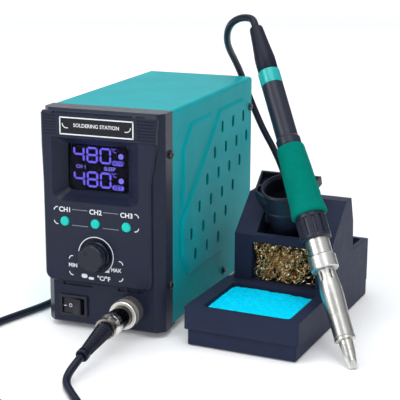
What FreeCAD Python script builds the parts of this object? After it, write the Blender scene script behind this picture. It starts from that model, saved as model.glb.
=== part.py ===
"""Soldering iron station: control unit, iron on its cord, and a stand with sponge and brass wool.

The model is laid out in a bench frame in millimetres: X to the right, Y away from the user, Z up, with
the control unit centred on X = 0, the front edge of its sheet-metal cover at Y = 0 and the bench at
Z = 0.  Every node is moved by -CENTRE_X and -CENTRE_Y when it is written, which puts the origin under
the middle of the whole set.
"""
import FreeCAD, Part
import math
import os

from FreeCAD import Placement, Rotation, Vector

os.makedirs("parts", exist_ok=True)

# ---------------------------------------------------------------- driving dimensions (mm)
CENTRE_X = 66.3
CENTRE_Y = 71.3

# control unit
UNIT_HALF = 43.75            # half width of the unit
UNIT_TOP = 154.0
UNIT_DEPTH = 165.7           # length of the cover
FOOT_HEIGHT = 4.0
SHEET = 1.0                  # cover and chassis sheet
COVER_BOTTOM = 6.0
BEZEL_DEPTH = 18.5           # moulded front, ahead of the cover
BEZEL_CHAMFER = 6.25
BEZEL_WALL = 2.5
SHIELD_RAISE = 3.0           # raised fascia that carries the controls
HEADER_RAISE = 3.6

# front controls, as X, Z of their centres
CONTROL_X = -3.6
BUTTON_PITCH = 22.7
BUTTON_Z = 77.5
BUTTON_RADIUS = 3.3
BUTTON_TRAVEL = 0.8
KNOB_Z = 55.4
KNOB_RADIUS = 9.4
KNOB_HEIGHT = 9.6
SWITCH_X, SWITCH_Z = -22.15, 16.9
SWITCH_WIDTH, SWITCH_HEIGHT = 21.0, 15.0     # standard KCD1 rocker switch bezel
ROCKER_TILT = 11.0
SOCKET_X, SOCKET_Z = 20.5, 19.3
SOCKET_RADIUS = 8.0                          # GX16 panel thread
LENS_X0, LENS_X1, LENS_Z0, LENS_Z1 = -27.5, 17.1, 98.0, 129.6
LENS_Y = -12.0

# side vents and embossed panels of the cover, in the cover's side plane
VENT_WIDTH, VENT_HEIGHT = 4.6, 9.0
VENT_PITCH_Y, VENT_PITCH_Z = 23.7, 16.45
VENT_TOP_Y, VENT_TOP_Z, VENT_SHEAR = 95.0, 127.0, 15.75
EMBOSS = 1.3

# stand, in its own frame: front left corner of its base block at the origin
STAND_X, STAND_Y, STAND_YAW = 62.1, -20.2, -4.0
STAND_WIDTH, STAND_LENGTH = 77.0, 153.0
BASE_TOP, TRAY_TOP, TRAY_LIP = 12.0, 27.5, 1.8
FACE_Y, FACE_TOP = 69.0, 61.0
CHEEK_Y, CHEEK_BACK, CHEEK_TOP = 96.7, 108.0, 85.2
TOWER_X0 = 4.5
HOLDER_X = 37.0
HOLDER_TILT = 23.0           # lean of the holder's axis from the vertical
MOUTH_Y, MOUTH_Z = 77.0, 95.6
MOUTH_RADIUS = 12.7
PIVOT_DEPTH = 30.0           # along the holder's axis, below the mouth
SADDLE_HALF = 16.7           # half width of the open saddle that the holder stands in
PIN_X0, PIN_X1 = 8.0, 66.0   # outer ends of the two pivot pins

# iron, measured along its axis from the end of the tip
IRON_LENGTH = 255.0
IRON_TIP = Vector(176.2, -22.4, 0.95)
IRON_AZIMUTH, IRON_LEAN = 132.2, 51.4        # where its tail points: compass angle and height angle
CORD_RADIUS = 2.6

# plug in the front socket, along -Y from the face of the bezel
PLUG_Y = -BEZEL_DEPTH
BOOT_DROP, BOOT_SWING = 13.1, 3.0             # the boot hangs and leans left a little, in degrees
BOOT_LENGTH = 32.0


# ---------------------------------------------------------------- helpers
def box(x0, x1, y0, y1, z0, z1):
    return Part.makeBox(x1 - x0, y1 - y0, z1 - z0, Vector(x0, y0, z0))


def cylinder(radius, length, base, axis):
    return Part.makeCylinder(radius, length, Vector(*base), Vector(*axis))


def polygon(points):
    return Part.makePolygon([Vector(*p) for p in points] + [Vector(*points[0])])


def prism(points, direction):
    return Part.Face(polygon(points)).extrude(Vector(*direction))


def fuse(shapes):
    first = shapes[0]
    return first.multiFuse(shapes[1:]).removeSplitter() if len(shapes) > 1 else first


def rounded_outline(a0, a1, b0, b1, radii, place):
    """Closed wire of a rectangle a0..a1 by b0..b1 whose corners have the given radii.

    Corners run from (a0, b0) to (a1, b0), (a1, b1) and (a0, b1); place turns (a, b) into a point."""
    r0, r1, r2, r3 = radii
    cut = 1.0 - math.sqrt(0.5)
    corners = [
        ((a0, b0 + r0), (a0 + r0 * cut, b0 + r0 * cut), (a0 + r0, b0)),
        ((a1 - r1, b0), (a1 - r1 * cut, b0 + r1 * cut), (a1, b0 + r1)),
        ((a1, b1 - r2), (a1 - r2 * cut, b1 - r2 * cut), (a1 - r2, b1)),
        ((a0 + r3, b1), (a0 + r3 * cut, b1 - r3 * cut), (a0, b1 - r3)),
    ]
    edges = []
    for i, (start, middle, end) in enumerate(corners):
        edges.append(Part.Arc(place(*start), place(*middle), place(*end)).toShape())
        edges.append(Part.LineSegment(place(*end), place(*corners[(i + 1) % 4][0])).toShape())
    return Part.Wire(edges)


def rounded_slab(a0, a1, b0, b1, radii, place, direction):
    return Part.Face(rounded_outline(a0, a1, b0, b1, radii, place)).extrude(Vector(*direction))


def on_front(y):
    """Turns (x, z) into a point of the plane Y = y."""
    return lambda x, z: Vector(x, y, z)


def on_side(x):
    return lambda y, z: Vector(x, y, z)


def on_level(z):
    """Turns (x, y) into a point of the plane Z = z."""
    return lambda x, y: Vector(x, y, z)


def turned(profile):
    """Solid of revolution about Z of a closed profile of (radius, height) points."""
    face = Part.Face(polygon([(r, 0, h) for r, h in profile]))
    return face.revolve(Vector(0, 0, 0), Vector(0, 0, 1), 360)


def tube(profile_out, profile_in):
    """Turned sleeve between an outer and an inner list of (radius, height), both from the bottom up."""
    return turned(profile_out + profile_in[::-1])


def fluted_cylinder(radius, depth, count, z0, z1, share=0.5):
    """Cylinder about Z with count flat-bottomed grooves, share of the pitch wide, in its rim."""
    points = []
    pitch = 2 * math.pi / count
    for i in range(count):
        for part, r in ((0.0, radius), (1 - share, radius), (1 - share * 0.85, radius - depth),
                        (1 - share * 0.15, radius - depth)):
            angle = (i + part) * pitch
            points.append((r * math.cos(angle), r * math.sin(angle), z0))
    return prism(points, (0, 0, z1 - z0))


def hexagon(across_flats, z0, z1):
    r = across_flats / math.sqrt(3)
    points = [(r * math.cos(math.radians(60 * i)), r * math.sin(math.radians(60 * i)), z0) for i in range(6)]
    return prism(points, (0, 0, z1 - z0))


def aimed(shape, base, direction, roll=0.0):
    """Copy of a shape built on the Z axis, moved so that Z points along direction from base."""
    copy = shape.copy()
    turn = Rotation(Vector(0, 0, 1), Vector(*direction)).multiply(Rotation(Vector(0, 0, 1), roll))
    copy.Placement = Placement(Vector(*base), turn).multiply(copy.Placement)
    return copy


def pan_screw(base, outward, radius=2.9, length=6.0):
    """Pan-head cross-recess screw whose head stands on base; the shank goes the other way."""
    head = turned([(0, 0), (radius, 0), (radius, 0.9), (radius * 0.72, 1.9), (0, 2.2)])
    cross = fuse([box(-1.6, 1.6, -0.35, 0.35, 1.1, 3), box(-0.35, 0.35, -1.6, 1.6, 1.1, 3)])
    screw = head.cut(cross).fuse(cylinder(1.45, length, (0, 0, -length), (0, 0, 1)))
    return aimed(screw, base, outward, 20.0)


written = []


def write(name, shapes):
    """Moves the shape or shapes into the part's frame and writes one node."""
    pieces = shapes if isinstance(shapes, list) else [shapes]
    shape = pieces[0].copy() if len(pieces) == 1 else Part.makeCompound(pieces)
    shape.translate(Vector(-CENTRE_X, -CENTRE_Y, 0))
    for solid in shape.Solids:
        if not solid.isValid() or solid.Volume <= 0:
            print("BAD SOLID", name, solid.Volume)
    shape.exportStep("parts/%s.step" % name)
    written.append((name, len(shape.Solids), shape.Volume))


# ---------------------------------------------------------------- control unit: front
def bezel_block(inset, y_front, y_back, z0, z1):
    """Block with the bezel's plan: chamfered front corners, flat back."""
    half = UNIT_HALF - inset
    chamfer = BEZEL_CHAMFER - inset * 0.4
    plan = [(-half, y_back), (-half, y_front + chamfer), (-half + chamfer, y_front),
            (half - chamfer, y_front), (half, y_front + chamfer), (half, y_back)]
    return prism([(x, y, z0) for x, y in plan], (0, 0, z1 - z0))


def shield_outline(y):
    """Outline of the raised fascia: wide behind the header, narrower beside the controls."""
    left, right, low, corner = -42.3, 36.8, 34.5, 6.0
    mid = corner * (1 - math.sqrt(0.5))
    edges = [Part.LineSegment(Vector(left, y, low + corner), Vector(left, y, 104)).toShape(),
             Part.LineSegment(Vector(left, y, 104), Vector(-43.0, y, 128)).toShape(),
             Part.LineSegment(Vector(-43.0, y, 128), Vector(-43.0, y, 151)).toShape(),
             Part.LineSegment(Vector(-43.0, y, 151), Vector(41.5, y, 151)).toShape(),
             Part.LineSegment(Vector(41.5, y, 151), Vector(40.5, y, 130)).toShape(),
             Part.LineSegment(Vector(40.5, y, 130), Vector(right, y, 108)).toShape(),
             Part.LineSegment(Vector(right, y, 108), Vector(right, y, low + corner)).toShape(),
             Part.Arc(Vector(right, y, low + corner), Vector(right - mid, y, low + mid),
                      Vector(right - corner, y, low)).toShape(),
             Part.LineSegment(Vector(right - corner, y, low), Vector(left + corner, y, low)).toShape(),
             Part.Arc(Vector(left + corner, y, low), Vector(left + mid, y, low + mid),
                      Vector(left, y, low + corner)).toShape()]
    return Part.Wire(edges)


def front_bezel():
    front = -BEZEL_DEPTH
    outer = bezel_block(0, front, 0, FOOT_HEIGHT, UNIT_TOP)
    top_slope = prism([(-60, front - 1, UNIT_TOP - 3), (-60, front - 1, UNIT_TOP + 1),
                       (-60, front + 4, UNIT_TOP + 1)], (120, 0, 0))
    foot_slope = prism([(-60, front - 1, FOOT_HEIGHT - 1), (-60, front - 1, FOOT_HEIGHT + 2),
                        (-60, front + 2, FOOT_HEIGHT - 1)], (120, 0, 0))
    outer = outer.cut(top_slope).cut(foot_slope)
    inner = bezel_block(BEZEL_WALL, front + BEZEL_WALL, 1, FOOT_HEIGHT + BEZEL_WALL, UNIT_TOP - BEZEL_WALL - 1)
    shell = outer.cut(inner)

    shield_face = front - SHIELD_RAISE
    shield = Part.Face(shield_outline(front + 0.5)).extrude(Vector(0, -SHIELD_RAISE - 0.5, 0))
    rim = [e for e in shield.Edges
           if all(abs(v.Y - shield_face) < 1e-6 for v in e.Vertexes)]
    shield = shield.makeChamfer(1.2, rim)
    header_face = front - HEADER_RAISE
    header = prism([(-41.5, front, 134.5), (-41.5, header_face + 0.8, 134.5), (-41.5, header_face, 135.3),
                    (-41.5, header_face, 151.6), (-41.5, header_face + 1.2, 152.6), (-41.5, front, 152.6)],
                   (82.5, 0, 0))
    collar = box(-38.5, 29.5, front + 1.5, LENS_Y + 1.5, 88.5, 138.5)
    body = fuse([shell, shield, header, collar])

    # display window: a deep funnel that narrows to the lens
    wide = rounded_outline(-35.2, 28.4, 91.5, 136.5, (7, 7, 3, 3), on_front(shield_face - 0.01))
    step = rounded_outline(-30.0, 20.0, 95.5, 132.0, (4, 4, 3, 3), on_front(LENS_Y - 3.2))
    narrow = rounded_outline(LENS_X0, LENS_X1, LENS_Z0, LENS_Z1, (2.5, 2.5, 2.5, 2.5), on_front(LENS_Y))
    funnel = Part.makeLoft([wide, step], True, True)
    throat = Part.makeLoft([step, narrow], True, True)
    pocket = box(LENS_X0 - 1.5, LENS_X1 + 1.5, LENS_Y, LENS_Y + 3, LENS_Z0 - 1.5, LENS_Z1 + 1.5)
    body = body.cut(funnel).cut(throat).cut(pocket)
    # the header crosses the top of the funnel as a brow
    brow = box(-36, 30, front - 1.0, front + 2.0, 134.5, 138.5)
    body = body.fuse(brow)

    # ribs at both ends of the header and the seat of the name plate
    cuts = [box(-28.9, 25.9, header_face - 1, header_face + 0.8, 136.8, 149.8)]
    for i in range(7):
        z = 137.0 + i * 2.05
        cuts.append(box(-41.6, -31.0, header_face - 1, header_face + 0.55, z, z + 0.9))
        cuts.append(box(28.0, 41.1, header_face - 1, header_face + 0.55, z, z + 0.9))
    # notches in the header's top edge
    cuts.append(box(-34, 24, header_face - 1, header_face + 1.6, 151.4, 153.5))
    cuts.append(box(27, 33, header_face - 1, header_face + 1.6, 151.8, 153.5))

    # controls
    for i in (-1, 0, 1):
        cuts.append(cylinder(BUTTON_RADIUS + 0.2, 8, (CONTROL_X + i * BUTTON_PITCH, shield_face - 1, BUTTON_Z),
                             (0, 1, 0)))
    cuts.append(cylinder(11.6, 2.0, (CONTROL_X, shield_face - 1, KNOB_Z), (0, 1, 0)))
    cuts.append(cylinder(3.6, 8, (CONTROL_X, shield_face - 1, KNOB_Z), (0, 1, 0)))
    cuts.append(box(SWITCH_X - 9.6, SWITCH_X + 9.6, front - 1, front + 4, SWITCH_Z - 6.5, SWITCH_Z + 6.5))
    cuts.append(cylinder(SOCKET_RADIUS + 0.1, 6, (SOCKET_X, front - 1, SOCKET_Z), (0, 1, 0)))
    # shallow slots under the fascia
    cuts.append(box(-30, -8, front - 1, front + 1.2, 31.2, 33.4))
    for i in range(3):
        cuts.append(box(11 + 7 * i, 16.2 + 7 * i, front - 1, front + 1.2, 31.2, 33.4))
    # side screw holes
    for y, z in ((-4.3, 125.6), (-5.2, 35.4)):
        cuts.append(cylinder(1.6, 120, (-60, y, z), (1, 0, 0)))
    for cut in cuts:
        body = body.cut(cut)
    return body


def name_plate():
    y = -BEZEL_DEPTH - HEADER_RAISE
    return box(-28.7, 25.7, y + 0.1, y + 0.78, 137.0, 149.6)


def display():
    lens = rounded_slab(LENS_X0 - 1.3, LENS_X1 + 1.3, LENS_Z0 - 1.3, LENS_Z1 + 1.3, (2, 2, 2, 2),
                        on_front(LENS_Y + 0.05), (0, 1.4, 0))
    module = box(LENS_X0 + 1, LENS_X1 - 1, LENS_Y + 1.6, -4.0, LENS_Z0 + 1, LENS_Z1 - 1)
    board = box(-37.0, 34.0, -3.9, -2.3, 46.0, 134.0)
    write("display_lens", lens)
    write("display_module", module)
    write("display_board", board)


def buttons():
    face = -BEZEL_DEPTH - SHIELD_RAISE
    inside = -BEZEL_DEPTH + BEZEL_WALL
    switches = []
    for i in (-1, 0, 1):
        x = CONTROL_X + i * BUTTON_PITCH
        cap = turned([(0, 0), (BUTTON_RADIUS - 0.9, 0), (BUTTON_RADIUS - 0.25, -0.3), (BUTTON_RADIUS, -0.9),
                      (BUTTON_RADIUS, -inside + face - 1.3), (BUTTON_RADIUS + 1.2, -inside + face - 1.3),
                      (BUTTON_RADIUS + 1.2, -inside + face - 2.3), (1.5, -inside + face - 2.3), (1.5, -14.0),
                      (0, -14.0)])
        write("button_%d" % (i + 2), aimed(cap, (x, face - 1.0, BUTTON_Z), (0, -1, 0)))
        body = box(x - 3, x + 3, -6.0, -3.9, BUTTON_Z - 3, BUTTON_Z + 3)
        plunger = cylinder(1.7, 1.0, (x, -7.0, BUTTON_Z), (0, 1, 0))
        switches.append(body.fuse(plunger))
    write("tact_switches", switches)


def knob():
    """Control knob on its round shaft, and the potentiometer behind the fascia."""
    face = -BEZEL_DEPTH - SHIELD_RAISE
    seat = face + 1.0
    r = KNOB_RADIUS
    body = turned([(0, 2.0), (7.2, 2.0), (7.2, 0.4), (r + 0.9, 0.4), (r + 0.7, 2.0), (r, 3.0),
                   (r - 0.2, KNOB_HEIGHT + 0.2), (r - 1.0, KNOB_HEIGHT + 1.0), (0, KNOB_HEIGHT + 1.0)])
    bore = cylinder(3.0, 6.0, (0, 0, 1.0), (0, 0, 1))
    dimple = Part.makeSphere(1.25, Vector(4.7, 0, KNOB_HEIGHT + 1.6))
    body = body.cut(bore).cut(dimple)
    # the aimed copy turns local X to the panel's 135 degree direction
    roll = Placement(Vector(CONTROL_X, seat, KNOB_Z), Rotation(Vector(1, 0, 0), 90))
    spin = Placement(Vector(0, 0, 0), Rotation(Vector(0, 0, 1), 135))
    body.Placement = roll.multiply(spin)
    write("control_knob", body)
    write("knob_shaft", cylinder(2.97, 13.0, (CONTROL_X, seat - 6.9, KNOB_Z), (0, 1, 0)))
    case = cylinder(8.0, 8.5, (CONTROL_X, -12.5, KNOB_Z), (0, 1, 0))
    bushing = cylinder(3.5, 9.4, (CONTROL_X, -21.8, KNOB_Z), (0, 1, 0))
    hollow = cylinder(3.05, 12.0, (CONTROL_X, -23.0, KNOB_Z), (0, 1, 0))
    write("potentiometer", case.fuse(bushing).cut(hollow))
    nut = aimed(hexagon(9.6, 0, 1.5).cut(cylinder(3.5, 4, (0, 0, -1), (0, 0, 1))),
                (CONTROL_X, seat - 0.02, KNOB_Z), (0, -1, 0))
    write("potentiometer_nut", nut)


def power_switch():
    front = -BEZEL_DEPTH
    rim = rounded_slab(SWITCH_X - SWITCH_WIDTH / 2, SWITCH_X + SWITCH_WIDTH / 2,
                       SWITCH_Z - SWITCH_HEIGHT / 2, SWITCH_Z + SWITCH_HEIGHT / 2, (1, 1, 1, 1),
                       on_front(front - 1.9), (0, 1.88, 0))
    edges = [e for e in rim.Edges if all(abs(v.Y - (front - 1.9)) < 1e-6 for v in e.Vertexes)]
    rim = rim.makeChamfer(0.5, edges)
    case = box(SWITCH_X - 9.4, SWITCH_X + 9.4, front - 0.5, -3.0, SWITCH_Z - 6.3, SWITCH_Z + 6.3)
    well = box(SWITCH_X - 8.4, SWITCH_X + 8.4, front - 3, front + 9.0, SWITCH_Z - 5.6, SWITCH_Z + 5.6)
    blades = [box(SWITCH_X + dx - 0.4, SWITCH_X + dx + 0.4, -3.1, 5.0, SWITCH_Z - 2.4, SWITCH_Z + 2.4)
              for dx in (-5.5, 0.0, 5.5)]
    write("power_switch_body", [rim.fuse(case).cut(well)] + [b.cut(case) for b in blades])
    # rocker: a V-faced paddle on a pivot pin along Z, pressed in at its left side
    pivot_y = front + 2.6
    outline = [(-7.4, -5.0), (-5.5, -5.35), (0, -4.3), (5.5, -5.35), (7.4, -5.0), (7.0, 1.0), (3.2, 4.4),
               (-3.2, 4.4), (-7.0, 1.0)]
    paddle = prism([(x, y, -5.35) for x, y in outline], (0, 0, 10.7))
    paddle.rotate(Vector(0, 0, 0), Vector(0, 0, 1), -ROCKER_TILT)
    paddle.translate(Vector(SWITCH_X, pivot_y, SWITCH_Z))
    write("power_switch_rocker", paddle)


def panel_socket():
    """Panel half of the five-pole screw connector."""
    front = -BEZEL_DEPTH
    shell = tube([(SOCKET_RADIUS, -4.0), (SOCKET_RADIUS, 0.0), (9.5, 0.0), (9.5, 1.2), (7.6, 1.2), (7.6, 9.0)],
                 [(5.4, -4.0), (5.4, -3.0), (6.3, -3.0), (6.3, 9.0)])
    insert = turned([(0, -10), (5.35, -10), (5.35, -2.95), (6.2, -2.95), (6.2, 1.0), (0, 1.0)])
    ring = aimed(hexagon(19.0, -4.6, -2.6).cut(cylinder(SOCKET_RADIUS, 9, (0, 0, -8), (0, 0, 1))),
                 (SOCKET_X, front, SOCKET_Z), (0, -1, 0))
    write("panel_socket", aimed(shell, (SOCKET_X, front - 0.02, SOCKET_Z), (0, -1, 0)))
    write("socket_insert", aimed(insert, (SOCKET_X, front - 0.02, SOCKET_Z), (0, -1, 0)))
    write("socket_nut", ring)


# ---------------------------------------------------------------- plug and boot on the cord
def plug():
    base = (SOCKET_X, PLUG_Y, SOCKET_Z)
    out = (0, -1, 0)
    nut = fluted_cylinder(9.9, 0.35, 44, 2.2, 9.2)
    collar = turned([(0, 9.2), (10.2, 9.2), (10.2, 13.4), (9.3, 14.6), (0, 14.6)])
    hollow = turned([(0, 1), (8.05, 1), (8.05, 10.2), (7.5, 10.2), (7.5, 20), (0, 20)])
    write("coupling_nut", aimed(nut.fuse(collar).cut(hollow), base, out))
    barrel = tube([(6.9, 9.6), (7.3, 9.6), (7.3, 30.0), (7.8, 30.0), (7.8, 34.0), (6.6, 37.0), (6.6, 39.0)],
                  [(5.9, 9.6), (5.9, 36.0), (5.0, 36.0), (5.0, 39.0)])
    write("plug_body", aimed(barrel, base, out))
    pins = [aimed(cylinder(0.8, 9.0, (3.4 * math.cos(a), 3.4 * math.sin(a), 4.2), (0, 0, 1)), base, out)
            for a in [2 * math.pi * i / 5 for i in range(5)]]
    core = aimed(cylinder(5.85, 4.0, (0, 0, 13.3), (0, 0, 1)), base, out)
    write("plug_insert", [core] + pins)
    saddle = tube([(7.0, 39.0), (7.0, 41.8)], [(4.4, 39.0), (4.4, 41.8)])
    ears = box(-10.2, 10.2, -2.6, 2.6, 39.0, 41.8).cut(cylinder(4.4, 9, (0, 0, 36), (0, 0, 1)))
    ears = ears.cut(cylinder(1.0, 9, (8.4, 0, 36), (0, 0, 1))).cut(cylinder(1.0, 9, (-8.4, 0, 36), (0, 0, 1)))
    write("cord_clamp", aimed(saddle.fuse(ears), base, out, 55.0))
    screws = []
    for side in (-8.4, 8.4):
        screw = turned([(0, 37.6), (0.95, 37.6), (0.95, 41.9), (1.8, 41.9), (1.6, 43.2), (0, 43.3)])
        screw.translate(Vector(side, 0, 0))
        screw = screw.cut(box(side - 2, side + 2, -0.25, 0.25, 42.7, 44))
        screws.append(aimed(screw, base, out, 55.0))
    write("cord_clamp_screws", screws)


def boot_direction():
    drop, swing = math.radians(BOOT_DROP), math.radians(BOOT_SWING)
    return Vector(-math.sin(swing) * math.cos(drop), -math.cos(swing) * math.cos(drop), -math.sin(drop))


BOOT_ROOT = Vector(SOCKET_X, PLUG_Y - 41.0, SOCKET_Z)


def cord_boot():
    """Tapered rubber strain relief with ring ribs and an end collar, hanging from the plug's clamp."""
    r_root, r_end, ribs, plain = 6.2, 4.3, 13, 5.0
    run = BOOT_LENGTH - plain - 6.0
    pitch = run / ribs
    profile = [(CORD_RADIUS, 0), (r_root, 0), (r_root, plain)]
    for i in range(ribs):
        z = plain + i * pitch
        r = r_root + (r_end - r_root) * (z - plain) / run
        profile += [(r - 0.5, z + 0.25 * pitch), (r - 0.5, z + 0.5 * pitch), (r, z + 0.75 * pitch)]
    profile += [(r_end, plain + run), (r_end + 0.5, BOOT_LENGTH - 5.4), (r_end + 0.5, BOOT_LENGTH - 0.6),
                (r_end, BOOT_LENGTH), (CORD_RADIUS, BOOT_LENGTH)]
    direction = boot_direction()
    shape = aimed(turned(profile), BOOT_ROOT + direction * 0.9, direction)
    ahead_of_clamp = box(-50, 90, -200, PLUG_Y - 41.82, -20, 60)
    write("cord_boot", shape.common(ahead_of_clamp))


# ---------------------------------------------------------------- control unit: cover and chassis
def side_panel(points, height, bevel):
    """Raised pad on the side plane: outline points (y, z), bevelled towards its top."""
    base = polygon([(0, y, z) for y, z in points])
    face = Part.Face(base)
    top = face.makeOffset2D(-bevel)
    top.translate(Vector(height, 0, 0))
    return Part.makeLoft([base, top.OuterWire], True, True)


def emboss_outlines():
    first = [(16.3, 79.5), (16.3, 124.9), (34.0, 141.2), (75.0, 141.2)]
    second = [(26.0, 32.5), (98.5, 30.0), (152.0, 92.0), (160.5, 100.0), (160.5, 124.0), (143.0, 141.0),
              (91.5, 141.0), (15.0, 74.0), (15.0, 48.7)]
    return first, second


def vent_slots(x0, length):
    """The slots of one side: rows that step back down the slanted panel."""
    slots = []
    for row in range(6):
        columns = {0: range(0, 3), 5: range(1, 4)}.get(row, range(0, 4))
        for column in columns:
            y = VENT_TOP_Y - VENT_SHEAR * row + VENT_PITCH_Y * column
            z = VENT_TOP_Z - VENT_PITCH_Z * row
            r = VENT_WIDTH / 2
            half = VENT_HEIGHT / 2
            slots.append(rounded_slab(y - r, y + r, z - half, z + half, (r - 0.05,) * 4, on_side(x0),
                                      (length, 0, 0)))
    return slots


def top_cover():
    half = UNIT_HALF
    front = on_front(0)
    outer = rounded_slab(-half, half, COVER_BOTTOM, UNIT_TOP, (0.2, 0.2, 2.5, 2.5), front, (0, UNIT_DEPTH, 0))
    inner = rounded_slab(-half + SHEET, half - SHEET, COVER_BOTTOM - 5, UNIT_TOP - SHEET,
                         (0.2, 0.2, 1.5, 1.5), on_front(-1), (0, UNIT_DEPTH + 2, 0))
    shell = outer.cut(inner)
    pads, hollows = [], []
    for outline in emboss_outlines():
        pad = side_panel(outline, EMBOSS, 2.4)
        pad.translate(Vector(half, 0, 0))
        hollow = side_panel(outline, EMBOSS, 2.4)
        hollow.translate(Vector(half - SHEET, 0, 0))
        pads += [pad, pad.mirror(Vector(0, 0, 0), Vector(1, 0, 0))]
        hollows += [hollow, hollow.mirror(Vector(0, 0, 0), Vector(1, 0, 0))]
    shell = fuse([shell] + pads)
    shell = shell.cut(Part.makeCompound(hollows))
    for side in (-1, 1):
        x0 = -half - 3 if side < 0 else half - 3
        shell = shell.cut(Part.makeCompound(vent_slots(x0, 6)))
    for y, z in ((161.0, 130.9), (102.1, 13.8)):
        shell = shell.cut(cylinder(1.6, 120, (-60, y, z), (1, 0, 0)))
    return shell


def chassis():
    inside = UNIT_HALF - SHEET - 0.1
    floor = box(-inside, inside, 1.0, UNIT_DEPTH - 2.6, COVER_BOTTOM + 0.3, COVER_BOTTOM + 0.3 + 1.2)
    flanges = [box(s * inside - (1.2 if s > 0 else 0), s * inside + (1.2 if s < 0 else 0), 1.0,
                   UNIT_DEPTH - 2.6, COVER_BOTTOM + 0.3, 22.0) for s in (-1, 1)]
    tabs = []
    for s in (-1, 1):
        for z in (35.4, 125.6):
            x0 = s * 38.9 - 0.6
            tabs.append(box(x0, x0 + 1.2, -8.5, 1.0, z - 6, z + 6))
    base = fuse([floor] + flanges)
    for s in (-1, 1):
        base = base.cut(cylinder(1.5, 6, (s * inside - 3, 102.1, 13.8), (1, 0, 0)))
    for x in (-33, 33):
        for y in (14, 150):
            base = base.cut(cylinder(1.6, 9, (x, y, 3), (0, 0, 1)))
    write("chassis_base", base)
    rear = rounded_slab(-inside, inside, COVER_BOTTOM + 0.3, UNIT_TOP - SHEET - 0.2, (0.3, 0.3, 2, 2),
                        on_front(UNIT_DEPTH - 2.5), (0, 1.2, 0))
    rear = rear.cut(box(-26.0, 2.0, 150, 170, 30.0, 50.2))
    rear = rear.cut(cylinder(6.3, 20, (24, 150, 40), (0, 1, 0)))
    side_tabs = [box(s * inside - (1.2 if s > 0 else 0), s * inside + (1.2 if s < 0 else 0),
                     UNIT_DEPTH - 10, UNIT_DEPTH - 2.5, 122, 140) for s in (-1, 1)]
    rear = fuse([rear] + side_tabs)
    for s in (-1, 1):
        rear = rear.cut(cylinder(1.5, 6, (s * inside - 3, 161.0, 130.9), (1, 0, 0)))
    write("rear_panel", rear)


def rear_fittings():
    """Mains inlet of the IEC C14 pattern and its fuse holder."""
    wall = UNIT_DEPTH - 1.3
    x, z = -12.0, 40.1
    flange = rounded_slab(x - 15.5, x + 15.5, z - 12.0, z + 12.0, (2, 2, 2, 2), on_front(wall + 0.02),
                          (0, 2.6, 0))
    case = box(x - 13.8, x + 13.8, wall - 17.0, wall + 0.5, z - 9.9, z + 9.9)
    mouth = [(x - 12.0, z - 8.0), (x + 12.0, z - 8.0), (x + 12.0, z + 4.5), (x + 8.5, z + 8.0),
             (x - 8.5, z + 8.0), (x - 12.0, z + 4.5)]
    cavity = prism([(a, wall - 13.5, b) for a, b in mouth], (0, 20, 0))
    blades = []
    for dx, dz in ((-7.0, -1.0), (0.0, 3.0), (7.0, -1.0)):
        blades.append(box(x + dx - 1.0, x + dx + 1.0, wall - 23.0, wall - 3.2, z + dz - 2.0, z + dz + 2.0))
    write("mains_inlet", flange.fuse(case).cut(cavity).cut(Part.makeCompound(blades)))
    write("inlet_blades", blades)
    holder = turned([(0, -22), (5.6, -22), (6.2, 0), (8.2, 0), (8.2, 1.6), (6.6, 2.2), (6.6, 8.5), (5.8, 9.2),
                     (0, 9.2)])
    slot = box(-5, 5, -0.7, 0.7, 8.2, 10)
    write("fuse_holder", aimed(holder.cut(slot), (24, wall + 0.02, 40), (0, 1, 0)))


def transformer():
    x, y, z = 0.0, 112.0, 7.6
    core = box(x - 33, x + 33, y - 16, y + 16, z, z + 55)
    windows = fuse([box(x - 22, x - 11, y - 30, y + 30, z + 11, z + 44),
                    box(x + 11, x + 22, y - 30, y + 30, z + 11, z + 44)])
    write("transformer_core", core.cut(windows))
    coil = box(x - 21.8, x + 21.8, y - 27, y + 27, z + 11.2, z + 43.8)
    leg = box(x - 11.1, x + 11.1, y - 16.1, y + 16.1, z + 5, z + 50)
    coil = coil.cut(leg)
    for z0, z1 in ((z - 1, z + 12), (z + 43, z + 60)):
        coil = coil.cut(box(x - 30, x + 30, y - 16.1, y + 16.1, z0, z1))
    write("transformer_winding", coil)
    strap_outer = box(x - 34.4, x + 34.4, y - 7, y + 7, z, z + 56.4)
    strap = strap_outer.cut(box(x - 33.1, x + 33.1, y - 10, y + 10, z - 1, z + 55.1))
    foot = box(x - 38.2, x + 38.2, y - 7, y + 7, z, z + 1.3).cut(box(x - 33.1, x + 33.1, y - 9, y + 9, 0, 50))
    write("transformer_strap", fuse([strap, foot]))


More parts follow.
